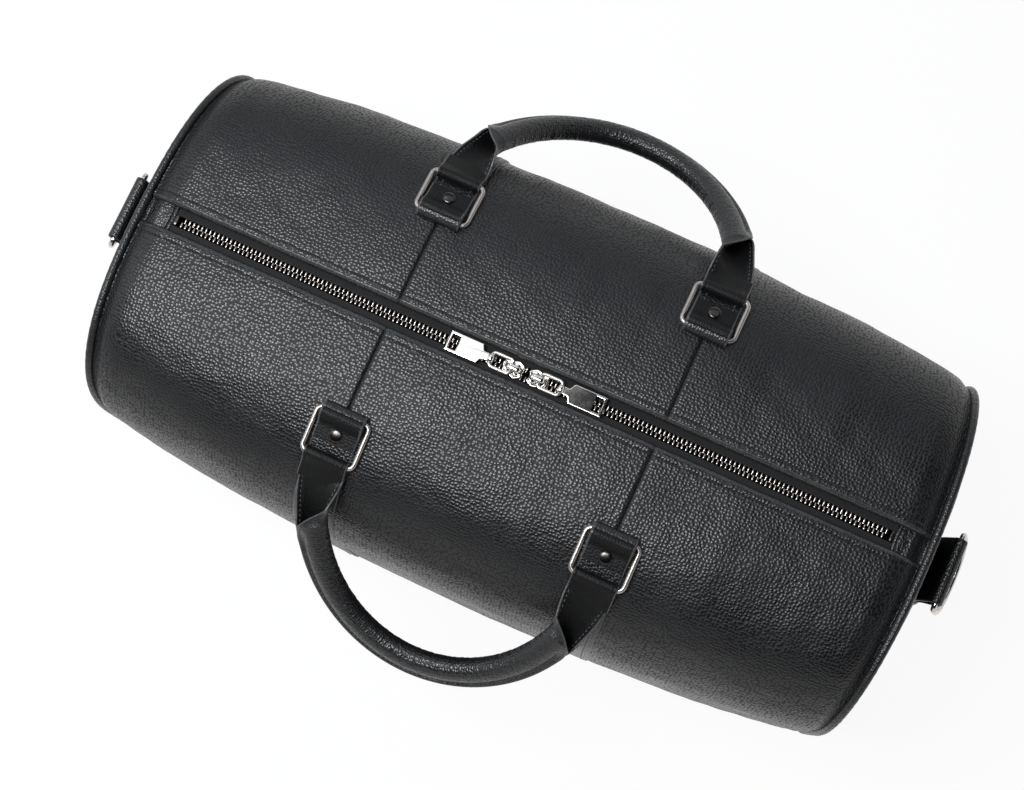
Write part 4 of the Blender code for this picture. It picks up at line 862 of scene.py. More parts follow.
def angle_at_height(x, height):
    """The direction of the lower skin's point at a height."""
    power = base_power(x)
    reach = half_width(x) - end_groove(x)
    drop = WIDEST_HEIGHT - BASE_HEIGHT - end_groove(x)
    down = WIDEST_HEIGHT - height
    across = reach * (1.0 - (down / drop) ** power) ** (1.0 / power)
    return np.pi - np.arctan2(across, down)


def sag(x, y, z):
    """The leather's unevenness: broad hollows, and short puckers that fade from the end seams."""
    hollow = HOLLOW_DEPTH * unevenness(x, y + z, HOLLOW_SIZE, 0.4)
    dent = DENT_DEPTH * unevenness(x, y + 1.3 * z, DENT_SIZE, 1.7)
    rim = np.exp((np.abs(x) - PANEL_END_X) / PUCKER_REACH)
    return hollow + dent + PUCKER_DEPTH * rim * unevenness(0.4 * x, y + z, PUCKER_SIZE, 2.9)


def seam_dip(distance, depth, width):
    """A seam's valley: depth times a bell curve of the distance from the seam."""
    return depth * bell(distance, width)


def hem_shape(distance):
    """The rolled zip edge: a low ridge at the fold, then the groove that the stitches pull."""
    return 0.00038 * bell(distance - HEM_STITCH, 0.00045) - 0.00020 * bell(distance - 0.0010, 0.0009)


heights = np.linspace(0.0, ZIP_HEIGHT, 90)
hollows = sag(0 * heights, 0 * heights, heights)
print("the leather waves over", round(1000 * float(np.ptp(hollows)), 2), "mm on its middle line")


# %% A side panel
def side_limits(x):
    """The directions of a side's upper and lower edge: the zip's fold and the base seam."""
    return angle_at_width(x, ZIP_OPENING / 2 + HEM_RADIUS), angle_at_height(x, BASE_SEAM + SEAM_GAP / 2)


def side_surface(x, part, side):
    """Points of a side panel's outer face: x along the bag, part 0 at the zip to 1 at the base.

    The sag fades by eased steps at the zip, the base and the rim, and where a strap holds it.
    """
    first, last = side_limits(x)
    angle = first + part * (last - first)
    y, z = skin(x, angle, end_groove(x))
    fade = soft_step((y - 0.012) / 0.02) * soft_step((z - BASE_SEAM) / 0.03)
    fade = fade * soft_step((PANEL_END_X - np.abs(x)) / 0.006)
    held = STRAP_HOLD * np.exp(-(((np.abs(x) - STATION_X) / STRAP_REACH) ** 4))
    hem = np.where(z > WIDEST_HEIGHT, hem_shape(y - ZIP_OPENING / 2 - HEM_RADIUS), 0.0)
    seams = seam_dip(np.abs(x) - STATION_X, *STATION_VALLEY) + seam_dip(z - BASE_SEAM, *BASE_VALLEY)
    inset = end_groove(x) + hem + fade * (1.0 - held) * sag(x, side * y, z) + seams
    y, z = skin(x, angle, inset)
    return stacked(bowed(x, y), side * y, z)


def side_panel(name, side, low, high):
    """A side panel: its outer face, the rolled edge at the zip and the layer turned under."""
    x = spread(low, high, 96)[:, None]
    part = spread(0.0, 1.0, 132)[None, :]
    face = side_surface(x, part, side)
    turn = np.radians(np.linspace(270, 100, 9))
    under = np.linspace(HEM_DEPTH, HEM_RADIUS + 0.0004, 4)
    y = ZIP_OPENING / 2 + np.concatenate([under, HEM_RADIUS + HEM_RADIUS * np.cos(turn)])
    drop = HEM_RADIUS * np.concatenate([np.full(len(under), 2.0), 1.0 - np.sin(turn)])
    hem = stacked(bowed(x, y), side * y, face[:, :1, 2] - drop)
    points = np.concatenate([hem, face], axis=1)
    piece = grid_piece(name, points, flip=side < 0)
    piece.data.materials.append(BODY_LEATHER)
    piece.data.materials.append(HEM_HIGHLIGHT_LEATHER)
    # The roll's columns take the lighter hem leather: a painted highlight along the fold.
    column = np.arange(len(piece.data.polygons)) % (points.shape[1] - 1)
    rolled = (column >= hem.shape[1] - 5) & (column < hem.shape[1] + 1)
    piece.data.polygons.foreach_set("material_index", rolled.astype(np.int32))
    return give_wall(piece, SKIN_WALL)


def hem_stitches(name, side):
    """The stitches beside a zip edge, along the groove that they pull."""
    x = np.linspace(-ZIP_END_X - 0.006, ZIP_END_X + 0.006, 400)
    y = ZIP_OPENING / 2 + HEM_RADIUS + HEM_STITCH
    y, z = skin(x, angle_at_width(x, y), end_groove(x) + hem_shape(HEM_STITCH))
    row = stacked(bowed(x, y), side * y, z)
    return stitch_row(name, row, np.broadcast_to((0.0, side * 0.06, 1.0), row.shape))


for side, word in ((-1, "front"), (1, "back")):
    for end, low, high in (
        ("left", -PANEL_END_X, -STATION_X - GAP / 2),
        ("centre", -STATION_X + GAP / 2, STATION_X - GAP / 2),
        ("right", STATION_X + GAP / 2, PANEL_END_X),
    ):
        node = f"{word}_{end}_panel"
        dress(side_panel(node + "_leather", side, low, high), "bag_body", BODY_LEATHER, node)
    dress(hem_stitches(f"hem_{word}_stitches", side), "bag_body", THREAD)
print("six side panels")

# %% [markdown]
# The base, the ends and the piping
#
# The base leather wraps up to the side seams. Each end is a shallow dome, and the seam between
# dome and sides holds a covered cord. The cord's leather is gathered a little as it goes round.


# %% Base, ends and piping
def base_piece():
    """The base leather: the lower skin from the front seam under the bag to the back seam."""
    x = spread(-PANEL_END_X, PANEL_END_X, 150)[:, None]
    seam = angle_at_height(x, BASE_SEAM - SEAM_GAP / 2)
    angle = seam + spread(0.0, 1.0, 150)[None, :] * (2 * np.pi - 2 * seam)
    y, z = whole_section(x, angle, end_groove(x))
    hollows = 0.0004 * unevenness(x, y, 0.05, 0.9) * soft_step((PANEL_END_X - np.abs(x)) / 0.01)
    y, z = whole_section(x, angle, end_groove(x) + seam_dip(z - BASE_SEAM, *BASE_VALLEY) + hollows)
    return give_wall(grid_piece("base_leather", stacked(bowed(x, y), y, z)), SKIN_WALL)


def dome_rise(ring):
    """How far an end bulges at a share of the way to its edge: a power of one less a power."""
    return END_BULGE * (1.0 - np.minimum(ring, 1.0) ** DOME_POWER) ** DOME_ROUNDNESS


def end_piece(name, sign):
    """A domed end: rings from the outline to the middle, bulged by a power of their share."""
    angle = whole_turn(180)[None, :]
    ring = (1.0 - np.linspace(0, 1, 60) ** 1.5)[:, None]
    y, z = whole_section(np.full(angle.shape, PIPING_X), angle, END_INSET)
    y = ring * y
    z = WIDEST_HEIGHT + ring * (z - WIDEST_HEIGHT)
    soft = 0.0006 * unevenness(y, z, 0.06, 1.1 + sign) * soft_step((1.0 - ring) / 0.15)
    x = sign * (bowed(PIPING_X, y) + dome_rise(ring) + soft)
    piece = grid_piece(name, stacked(x, y, z), wrap=True, flip=sign > 0, weld=True)
    return give_wall(piece, SKIN_WALL)


def piping_piece(name, sign):
    """The covered cord: a circle carried round the end's outline, gathered by fine waves."""
    angle = whole_turn(480)
    y, z = whole_section(np.full(angle.shape, PIPING_X), angle, PIPING_SINK)
    path = stacked(sign * bowed(PIPING_X, y), y, z)
    turns = 2 * np.pi * run_lengths(path)
    gathers = 1.0 + 0.035 * np.sin(turns / 0.0061) * np.sin(turns / 0.047)
    return wire(name, path, (1, 0, 0), PIPING_RADIUS * gathers, sides=18)


dress(base_piece(), "bag_body", BODY_LEATHER, "base_panel")
for sign, word in ((-1, "left"), (1, "right")):
    dress(end_piece(f"end_{word}_leather", sign), "bag_body", BODY_LEATHER, f"end_panel_{word}")
    dress(piping_piece(f"piping_{word}_cord", sign), "bag_body", PIPING_LEATHER, f"piping_{word}")
print("base, ends and piping")

# %% [markdown]
# Straps and rings
#
# Four short straps run up the sides, turn round the inner bar of a rectangular ring and come
# back as a flap that a rivet holds. The bars' places come from the model's own joints, so the
# rings turn in their folds at every pose.

# %% Where the rings' bars are
joint_place = {joint["name"]: joint["pos_m"] for joint in frame["joints"] if "pos_m" in joint}
INNER_BAR = np.array([abs(joint_place["ring_back_left_hinge"][1]), joint_place["ring_back_left_hinge"][2]])
OUTER_BAR = np.array([abs(joint_place["handle_back_hinge"][1]), joint_place["handle_back_hinge"][2]])
RING_WIRE = 0.0016
RUN_GAP = 0.0004
RING_WIDTH = 0.0325
RING_CORNER = 0.0036
FOLD_LEATHER = 0.0027
LAYER_GAP = 0.0003
EDGE_ROUND = 0.0006
STRAP_FOLD = RING_WIRE + RUN_GAP + FOLD_LEATHER / 2
print("ring bars at", INNER_BAR.round(4).tolist(), "and", OUTER_BAR.round(4).tolist())


# %% Places on the section
def section_line(x):
    """The side's outer face at one place as points, their outward normals and their distances."""
    y, z = skin(x, np.linspace(*side_limits(x), 900), end_groove(x))
    points = np.column_stack([y, z])
    run = unit(np.gradient(points, axis=0))
    return points, np.column_stack([-run[:, 1], run[:, 0]]), run_lengths(points)


def above_section(x, distance, height):
    """(y, z) points so far along the section and so high off it."""
    points, normal, lengths = section_line(x)
    lean = unit(read_at(distance, lengths, normal))
    return read_at(distance, lengths, points) + lean * np.asarray(height)[:, None]


def bar_distance():
    """Distance from the zip's fold to the foot of the inner bar."""
    points, normal, lengths = section_line(STATION_X)
    lifted = points + normal * (GAP + LEATHER + RUN_GAP + RING_WIRE)
    return float(lengths[np.argmin(np.linalg.norm(lifted - INNER_BAR, axis=1))])


BAR_DISTANCE = bar_distance()
print("a ring's bar is", round(1000 * BAR_DISTANCE, 1), "mm from the zip's fold along the leather")


# %% A ring strap
UP_ROWS, FOLD_ROWS, FLAP_ROWS = 90, 17, 22
FLAP_LENGTH = 0.0175


def strap_line(x):
    """A ring strap's middle line: up the side, half a turn round the bar, and the flap.

    The flap starts as high as the fold and settles onto the lower layer by an eased step.
    """
    length = section_line(x)[2][-1]
    low = GAP + LEATHER / 2
    flap = low + LEATHER + LAYER_GAP
    top = GAP + LEATHER + RUN_GAP + RING_WIRE + STRAP_FOLD
    up = np.linspace(length - 0.0004, BAR_DISTANCE + 0.0012, UP_ROWS)
    lower = above_section(x, up, np.full(UP_ROWS, low))
    out = unit(above_section(STATION_X, [BAR_DISTANCE], [top])[0] - INNER_BAR)
    inward = np.array([-out[1], out[0]])
    turn = np.radians(np.linspace(-90, 90, FOLD_ROWS))[:, None]
    fold = INNER_BAR + STRAP_FOLD * (np.cos(turn) * inward + np.sin(turn) * out)
    back = np.linspace(BAR_DISTANCE + 0.0008, BAR_DISTANCE + FLAP_LENGTH, FLAP_ROWS)
    settle = 1.0 - soft_step((back - BAR_DISTANCE - 0.0022) / 0.0065)
    return np.vstack([lower, fold, above_section(x, back, flap + (top - flap) * settle)])


def strap_piece(name, side, sign):
    """A ring strap between its two edge lines, thicker in the fold: piece, middle, outward ways."""
    reach = STRAP_WIDTH / 2 - EDGE_ROUND
    edges = [strap_line(STATION_X - reach), strap_line(STATION_X + reach)]
    part = np.linspace(0, 1, 15)[None, :, None]
    line = edges[0][:, None] * (1 - part) + edges[1][:, None] * part
    x = STATION_X + (2 * part[..., 0] - 1) * reach
    run = unit(np.gradient((edges[0] + edges[1]) / 2, axis=0))[:, None]
    middle = stacked(sign * x, side * line[..., 0], line[..., 1])
    face = np.broadcast_to(stacked(0.0, side * run[..., 1], -run[..., 0]), middle.shape)
    row = np.arange(len(middle))[:, None]
    fold = soft_step((row - UP_ROWS + 10) / 10.0) * (1 - soft_step((row - UP_ROWS - FOLD_ROWS - 5) / 9.0))
    thickness = LEATHER + (FOLD_LEATHER - LEATHER) * fold
    return grid_piece(name, strip_rows(middle, -face, thickness), wrap=True, caps=True), middle, face


print("a strap has", len(strap_line(STATION_X)), "rows")


# %% A ring and its rivet
RIVET_DISTANCE = 0.0122
RIVET_RADIUS = 0.004
RIVET_DOME = 0.0012
RIVET_LOW = 0.0045
SHANK_RADIUS = 0.0014
SHANK_LENGTH = 0.0036


def ring_path(side, sign):
    """A rounded rectangle between the two bars: straight sides, and quarter circles between them."""
    inner = np.array([0.0, side * INNER_BAR[0], INNER_BAR[1]])
    run = np.array([0.0, side * OUTER_BAR[0], OUTER_BAR[1]]) - inner
    length = np.linalg.norm(run)
    turn = np.radians(np.arange(0, 360, 9.0))
    quarter = np.floor(turn / (np.pi / 2))
    sign_x = np.where((quarter == 0) | (quarter == 3), 1.0, -1.0)
    sign_l = np.where(quarter < 2, 1.0, -1.0)
    x = sign_x * (RING_WIDTH / 2 - RING_CORNER) + RING_CORNER * np.cos(turn)
    along = sign_l * (length / 2 - RING_CORNER) + RING_CORNER * np.sin(turn)
    x, along = even_loop(np.column_stack([x, along]), 160).T
    path = inner + run * (0.5 + along / length)[:, None]
    path[:, 0] = sign * STATION_X + x
    return path, np.cross(run / length, (1.0, 0.0, 0.0))


def turned_piece(name, profile, place, axis, steps=32):
    """A turned solid: a profile of (radius, height) pairs swept round an axis from a place."""
    axis = unit(np.asarray(axis, float))
    side = unit(np.cross(axis, (1.0, 0.0, 0.0)))
    turn = whole_turn(steps)[:, None]
    circle = np.cos(turn) * side + np.sin(turn) * np.cross(axis, side)
    profile = np.asarray(profile, float)[:, None]
    points = np.asarray(place) + profile[..., :1] * circle + profile[..., 1:] * axis
    return outward(grid_piece(name, points, wrap=True, weld=True))


def rivet_piece(name, side, sign):
    """A rivet: a low dome by a power of the sine, a flat underside and a shank through the flap."""
    turn = np.radians(np.linspace(90, 0, 12))
    head = np.column_stack([RIVET_RADIUS * np.cos(turn), RIVET_LOW + RIVET_DOME * np.sin(turn) ** 0.8])
    end = RIVET_LOW - SHANK_LENGTH
    profile = np.vstack([head, [[SHANK_RADIUS, RIVET_LOW], [SHANK_RADIUS, end], [0.0, end]]])
    foot, tip = above_section(STATION_X, [BAR_DISTANCE + RIVET_DISTANCE] * 2, [0.0, 0.01])
    axis = (0.0, side * (tip - foot)[0], (tip - foot)[1])
    return turned_piece(name, profile, (sign * STATION_X, side * foot[0], foot[1]), axis)


print("a ring's bars are", round(1000 * float(np.linalg.norm(OUTER_BAR - INNER_BAR)), 1), "mm apart")


# %% The four straps, rings and rivets
for side, side_word in ((-1, "front"), (1, "back")):
    for sign, end_word in ((-1, "left"), (1, "right")):
        tail = f"{side_word}_{end_word}"
        strap, line, face = strap_piece(f"strap_{tail}_leather", side, sign)
        dress(strap, "bag_body", STRAP_LEATHER, f"ring_strap_{tail}")
        # The flap beyond the fold gets the darker, duller leather: painted shade for the dark opening inside
        # the ring.
        strap.data.materials.append(PAINTED_SHADE_LEATHER)
        rows = np.arange(len(strap.data.polygons)) // (2 * line.shape[1] + 2 * len(EDGE_TURNS))
        flap = (rows > UP_ROWS + FOLD_ROWS - 3).astype(np.int32)
        strap.data.polygons.foreach_set("material_index", flap)
        edge_highlight_and_inner_shade(strap, line.shape[1])
        for column, word in ((2, "inner"), (12, "outer")):
            path, up = (line + face * LEATHER / 2)[3:86, column], face[3:86, column]
            dress(stitch_row(f"strap_{tail}_{word}_stitches", path, up), "bag_body", THREAD)
        path, plane = ring_path(side, sign)
        ring = wire(f"ring_{tail}_wire", path, plane, RING_WIRE, sides=16)
        dress(ring, f"ring_{tail}_body", SATIN, f"ring_{tail}")
        rivet = rivet_piece(f"rivet_{tail}_dome", side, sign)
        dress(rivet, "bag_body", DARK_METAL, f"strap_rivet_{tail}")
print("straps, rings and rivets")

# %% [markdown]
# The handles
#
# A handle is one strip of leather. At each end it is flat and turns round the ring's outer
# bar; then its long edges curl up, leave an open pocket, and meet in a flange that is sewn
# round a cord. The section is drawn by its tangent: a flange, a round and a flange again, each
# direction multiplied by how far the roll is closed.

# %% The handles' sizes
HANDLE_BAND = 0.0015
HANDLE_REACH = 0.103
HANDLE_ROLL = 0.0070
HANDLE_FLANGE = 0.0042
HANDLE_FLAP = 0.0155
HANDLE_SETTLE = 0.0075
HANDLE_SAG = math.radians(8)
SAG_START = 0.026
POCKET_START = 0.008
POCKET_END = 0.050
HANDLE_LEAN = math.radians(34.41)
ROLL_STEPS = 40
FLANGE_SHARES = np.array([0.3, 0.3, 0.3, 0.3, 0.25, 0.25, 0.25, 0.35, 0.5, 0.6, 0.8]) / 4.2
FLANGE_STEPS = FLANGE_SHARES * HANDLE_FLANGE
GROOVE_INSIDE = 0.0018
FLAT_STAGE = 0.72
ROLL_IN_STAGE = 0.6
POCKET_LATE = 1.25
HANDLE_WRINKLE = 0.00022
HANDLE_STITCH = (0.0030, 0.0022, 0.00028)
print("a handle reaches", HANDLE_REACH, "m from its rings")


# %% The strip's section, flat to rolled
def roll_line(closing):
    """The strip's section at stages of its roll, as (outward, off) pairs with outer normals.

    Each step's direction is its closed direction times the stage; late in the roll the flanges
    bend flat. A squash keeps the height to the closed roll's, and a stretch across carries the
    inner side evenly from the flat strip's edge to the roll's.
    """
    half_gap = (HANDLE_BAND + LAYER_GAP) / 2
    neck = math.asin(half_gap / HANDLE_ROLL)
    step = (2 * math.pi - 2 * neck) / ROLL_STEPS
    first, last = neck - math.pi / 2, 3 * math.pi / 2 - neck
    stage = closing[:, None]
    flat = soft_step((stage - FLAT_STAGE) / (1 - FLAT_STAGE))
    rim = np.zeros(len(FLANGE_STEPS))
    turns = [stage * first * (1 - flat) + rim, stage * (first + (np.arange(ROLL_STEPS) + 0.5) * step)]
    turns = np.concatenate(turns + [stage * last * (1 - flat) + math.pi * flat + rim], axis=1)
    round_length = ROLL_STEPS * 2 * HANDLE_ROLL * math.sin(step / 2)
    flat_length = STRAP_WIDTH - 2 * HANDLE_FLANGE
    chord = (flat_length + stage ** 2 * (round_length - flat_length)) / ROLL_STEPS
    lengths = [FLANGE_STEPS + 0 * stage, chord + np.zeros(ROLL_STEPS), FLANGE_STEPS[::-1] + 0 * stage]
    direction = np.stack([-np.cos(turns), np.sin(turns)], axis=-1)
    moves = np.cumsum(direction * np.concatenate(lengths, axis=1)[..., None], axis=1)
    line = np.concatenate([0 * moves[:, :1], moves], axis=1)
    line[..., 1] -= line[..., 1].min(axis=1, keepdims=True)
    height = np.maximum(line[..., 1].max(axis=1, keepdims=True), 1e-6)
    line[..., 1] *= np.minimum(1.0, 2 * HANDLE_ROLL / height)
    edge = (1 - stage) * STRAP_WIDTH / 2 + stage * (HANDLE_ROLL * math.cos(neck) + HANDLE_FLANGE)
    inner = -STRAP_WIDTH / 2 + (STRAP_WIDTH / 2 - HANDLE_ROLL) * soft_step(stage / ROLL_IN_STAGE)
    line[..., 0] = edge + line[..., 0] * (inner - edge) / line[..., 0].min(axis=1, keepdims=True)
    run = unit(np.diff(line, axis=1))
    left = np.stack([-run[..., 1], run[..., 0]], axis=-1)
    both = np.concatenate([left[:, :1], left], axis=1) + np.concatenate([left, left[:, -1:]], axis=1)
    return line, unit(both)


def tooled_edges(columns):
    """The strip's thickness across its columns: a groove inside each edge and a bead beside it."""
    rim = np.concatenate([[0.0], np.cumsum(FLANGE_STEPS)])
    distance = np.full(columns, 1.0)
    distance[: len(rim)] = rim
    distance[-len(rim) :] = rim[::-1]
    groove = 0.34 * bell(distance - GROOVE_INSIDE, 0.00032)
    bead = 0.08 * bell(distance - 0.45 * GROOVE_INSIDE, 0.0005)
    return HANDLE_BAND * (1.0 - groove + bead)


print("roll is", round(1000 * float(np.ptp(roll_line(np.ones(1))[0][0, :, 1])), 2), "mm high when closed")


# %% The strip along the handle
def let_down(points):
    """The handle's sag: the slope of eight degrees eases in past its start by a square root."""
    slope = math.tan(HANDLE_SAG) / 2
    past = points[..., 1] - SAG_START
    drop = slope * (past + np.sqrt(past ** 2 + HANDLE_SETTLE ** 2))
    start = slope * (math.sqrt(SAG_START ** 2 + HANDLE_SETTLE ** 2) - SAG_START)
    return points + stacked(0.0, 0.0, start - drop)


def flat_rows():
    """The flat end's points and outward ways: flap, half a turn round the bar, and the run out."""
    level = (HANDLE_BAND + LAYER_GAP) / 2
    radius = RING_WIRE + RUN_GAP + HANDLE_BAND / 2
    flap = np.linspace(HANDLE_FLAP, 0.0006, 20)
    run_out = np.linspace(0.0006, HANDLE_SETTLE - 0.0005, 8)
    settled = [level + (radius - level) * (1 - soft_step(o / HANDLE_SETTLE)) for o in (flap, run_out)]
    turn = np.radians(np.linspace(90, 270, 17))
    out = np.concatenate([flap, radius * np.cos(turn), run_out])
    off = np.concatenate([settled[0], radius * np.sin(turn), -settled[1]])
    run = unit(np.gradient(np.column_stack([out, off]), axis=0))[:, None]
    across = roll_line(np.zeros(1))[0][0, :, 0]
    points = stacked(-STATION_X - across, out[:, None], off[:, None])
    return points, np.broadcast_to(stacked(0.0, -run[..., 1], run[..., 0]), points.shape)


def rolled_rows():
    """The rest of the strip along half an ellipse, closing by a power of the reach, wrinkled inside."""
    first = math.asin(HANDLE_SETTLE / HANDLE_REACH)
    angle = np.linspace(first, math.pi - first, 420)
    reach = HANDLE_REACH * np.sin(angle)
    closing = np.clip((reach - POCKET_START) / (POCKET_END - POCKET_START), 0, 1) ** POCKET_LATE
    window = np.hanning(23)
    closing = np.convolve(np.pad(closing, 11, mode="edge"), window / window.sum(), mode="valid")
    line, normal = roll_line(closing)
    out = unit(np.column_stack([-HANDLE_REACH * np.cos(angle), STATION_X * np.sin(angle)]))
    out_x, out_y = out.T[..., None]
    x = -STATION_X * np.cos(angle)[:, None] + out_x * line[..., 0]
    y = reach[:, None] + out_y * line[..., 0]
    body = stacked(x, y, line[..., 1] - (HANDLE_BAND + LAYER_GAP) / 2)
    face = stacked(out_x * normal[..., 0], out_y * normal[..., 0], normal[..., 1])
    wrinkle = unevenness(angle[:, None] * 0.09, line[..., 0], 0.0042, 0.8)
    fade = closing[:, None] ** 4 * soft_step((HANDLE_ROLL - line[..., 0]) / 0.004)
    return body + face * (HANDLE_WRINKLE * wrinkle * fade)[..., None], face


def handle_grid():
    """Middle line and outward ways of the whole strip, row by row, in the handle's own axes."""
    (ends, end_face), (body, face) = flat_rows(), rolled_rows()
    mirror = np.array([-1.0, 1.0, 1.0])
    middle = np.concatenate([ends, let_down(body), (ends * mirror)[::-1]])
    return middle, np.concatenate([end_face, face, (end_face * mirror)[::-1]])


middle, normals = handle_grid()
print("a handle's strip has", len(middle), "rows of", middle.shape[1], "points")


# %% Two handles and their stitches
FLAP_ROW, POCKET_ROW, FLANGE_ROW = 3, 46, 118


def handle_place(side):
    """The handle's own axes in the bag: along the bag, out and down by its lean, and off it."""
    out = np.array([0.0, side * math.cos(HANDLE_LEAN), -math.sin(HANDLE_LEAN)])
    off = np.array([0.0, side * math.sin(HANDLE_LEAN), math.cos(HANDLE_LEAN)])
    return np.stack([np.array([1.0, 0.0, 0.0]), out, off]), np.array([0.0, side * OUTER_BAR[0], OUTER_BAR[1]])


def stitch_lines(middle, normals):
    """The handle's stitch rows as (name, points, normals): flange, pocket edges and flaps."""
    rows, column = len(middle), 6
    off = normals * (tooled_edges(middle.shape[1])[column] / 2 + 0.00005)
    inner, outer = middle - off, middle + off
    flange = slice(FLANGE_ROW, rows - FLANGE_ROW)
    lines = [("flange", outer[flange, -1 - column], normals[flange, -1 - column])]
    lines += [("flange_under", outer[flange, column], normals[flange, column])]
    pockets = (slice(POCKET_ROW, FLANGE_ROW), slice(rows - FLANGE_ROW, rows - POCKET_ROW))
    for word, part in zip(("left", "right"), pockets):
        lines.append((f"pocket_{word}_outer", inner[part, column], -normals[part, column]))
        lines.append((f"pocket_{word}_inner", inner[part, -1 - column], -normals[part, -1 - column]))
    for word, row in (("left", FLAP_ROW), ("right", rows - 1 - FLAP_ROW)):
        lines.append((f"flap_{word}", outer[row, 8:-8], normals[row, 8:-8]))
    return lines


for side, word in ((-1, "front"), (1, "back")):
    axes, origin = handle_place(side)
    line = middle @ axes + origin
    face = normals @ axes
    rows = strip_rows(line, face, tooled_edges(line.shape[1]))
    handle = grid_piece(f"handle_{word}_leather", rows, wrap=True, caps=True)
    dress(handle, f"handle_{word}_body", STRAP_LEATHER, f"handle_{word}")
    # The pocket's inner face gets the darker leather as painted shade.
    edge_highlight_and_inner_shade(handle, line.shape[1], PAINTED_SHADE_LEATHER)
    for label, path, up in stitch_lines(middle, normals):
        name = f"handle_{word}_{label}_stitches"
        row = stitch_row(name, path @ axes + origin, up @ axes, *HANDLE_STITCH)
        dress(row, f"handle_{word}_body", THREAD)
print("two handles with", len(stitch_lines(middle, normals)), "rows of stitches each")

# %% [markdown]
# End tabs and D-rings
#
# Each end has a folded tab that stands off the dome, with a D-ring hung in its fold. The fold
# is what shows from above, as a band of stretched grain, with the ring's bow outside it.

# %% The tabs
D_BAR = np.array([0.2660, 0.1990])
D_WIRE = 0.0017
D_WIDTH = 0.047
D_DROP = 0.030
D_CORNER = 0.0032
D_LEAN = math.radians(17)
TAB_WIDTH = 0.040
TAB_LOW = 0.148
TAB_SEWN = 0.176


def dome_x(z):
    """The end panel's face on the middle line, by the share of the way to its edge."""
    rise = top_height(PIPING_X) - END_INSET - WIDEST_HEIGHT
    return PIPING_X + dome_rise(np.abs(z - WIDEST_HEIGHT) / rise)


def curve_between(start, start_way, end, end_way, count):
    """A cubic curve between two points that leaves and arrives along given ways."""
    part = np.linspace(0, 1, count)[:, None]
    first = start + np.asarray(start_way)
    second = end - np.asarray(end_way)
    return (
        (1 - part) ** 3 * start
        + 3 * (1 - part) ** 2 * part * first
        + 3 * (1 - part) * part ** 2 * second
        + part ** 3 * end
    )


def tab_line():
    """The tab's middle line as (x, z): up the dome, out to the fold, round the bar and back down."""
    z = np.linspace(TAB_LOW, TAB_SEWN, 16)
    inner = np.column_stack([dome_x(z) + GAP + LEATHER / 2, z])
    radius = D_WIRE + RUN_GAP + LEATHER / 2
    turn = np.radians(np.linspace(180, 0, 17))
    fold = D_BAR + radius * np.column_stack([np.cos(turn), np.sin(turn)])
    up = curve_between(inner[-1], (-0.0006, 0.006), fold[0], (0.0015, 0.007), 18)[1:-1]
    outer = inner + np.array([LEATHER + LAYER_GAP, 0.0])
    down = curve_between(fold[-1], (0.0, -0.009), outer[-1], (0.0, -0.006), 18)[1:-1]
    return np.vstack([inner, up, fold, down, outer[::-1]])


def tab_piece(name, sign):
    """The tab: its line carried across its width, with the middle and the outward ways."""
    line = tab_line()
    run = unit(np.gradient(line, axis=0))[:, None]
    across = np.linspace(-1, 1, 19)
    middle = stacked(sign * line[:, :1], (TAB_WIDTH / 2 - EDGE_ROUND) * across, line[:, 1:])
    face = np.broadcast_to(stacked(-sign * run[..., 1], 0.0, run[..., 0]), middle.shape)
    return grid_piece(name, strip_rows(middle, face, LEATHER), wrap=True, caps=True), middle, face


print("a tab has", len(tab_line()), "rows")


# %% D-rings, and both ends in place
def d_path(sign):
    """The D-ring: a straight bar, two small corners and a bow that drops by a power of the sine."""
    half = D_WIDTH / 2
    turn = np.radians(np.linspace(90, 0, 9))
    corner_y = half - D_CORNER + D_CORNER * np.cos(turn)
    corner_d = -D_CORNER + D_CORNER * np.sin(turn)
    sweep = np.linspace(0, math.pi, 66)[1:-1]
    bow_d = -(2 * D_CORNER + (D_DROP - 2 * D_CORNER) * np.sin(sweep) ** 0.8)
    y = np.concatenate([corner_y, half * np.cos(sweep), -corner_y[::-1]])
    down = np.concatenate([corner_d, bow_d, corner_d[::-1]])
    x = sign * (D_BAR[0] - down * math.sin(D_LEAN))
    return even_loop(stacked(x, y, D_BAR[1] + down * math.cos(D_LEAN)), 180)


for sign, word in ((-1, "left"), (1, "right")):
    tab, line, face = tab_piece(f"tab_{word}_leather", sign)
    dress(tab, "bag_body", STRAP_LEATHER, f"d_ring_tab_{word}")
    outer = line + face * 0.001
    rows = slice(len(line) - 24, len(line) - 2)
    for label, place in (("front", (rows, 1)), ("back", (rows, -2)), ("low", (-3, slice(1, -1)))):
        dress(stitch_row(f"tab_{word}_{label}_stitches", outer[place], face[place]), "bag_body", THREAD)
    plane = (sign * math.cos(D_LEAN), 0.0, math.sin(D_LEAN))
    ring = wire(f"d_ring_{word}_wire", d_path(sign), plane, D_WIRE, sides=16)
    dress(ring, f"d_ring_{word}_body", GUNMETAL, f"d_ring_{word}")
print("tabs and D-rings")

# %% [markdown]
# The zip
#
# Two woven tapes carry rows of cast teeth that mesh half a pitch apart, and two sliders meet
# in the middle with their pulls turned away from each other. A tooth is seven rings of eight
# points, fat at its root and head and waisted between; the whole row is one array.


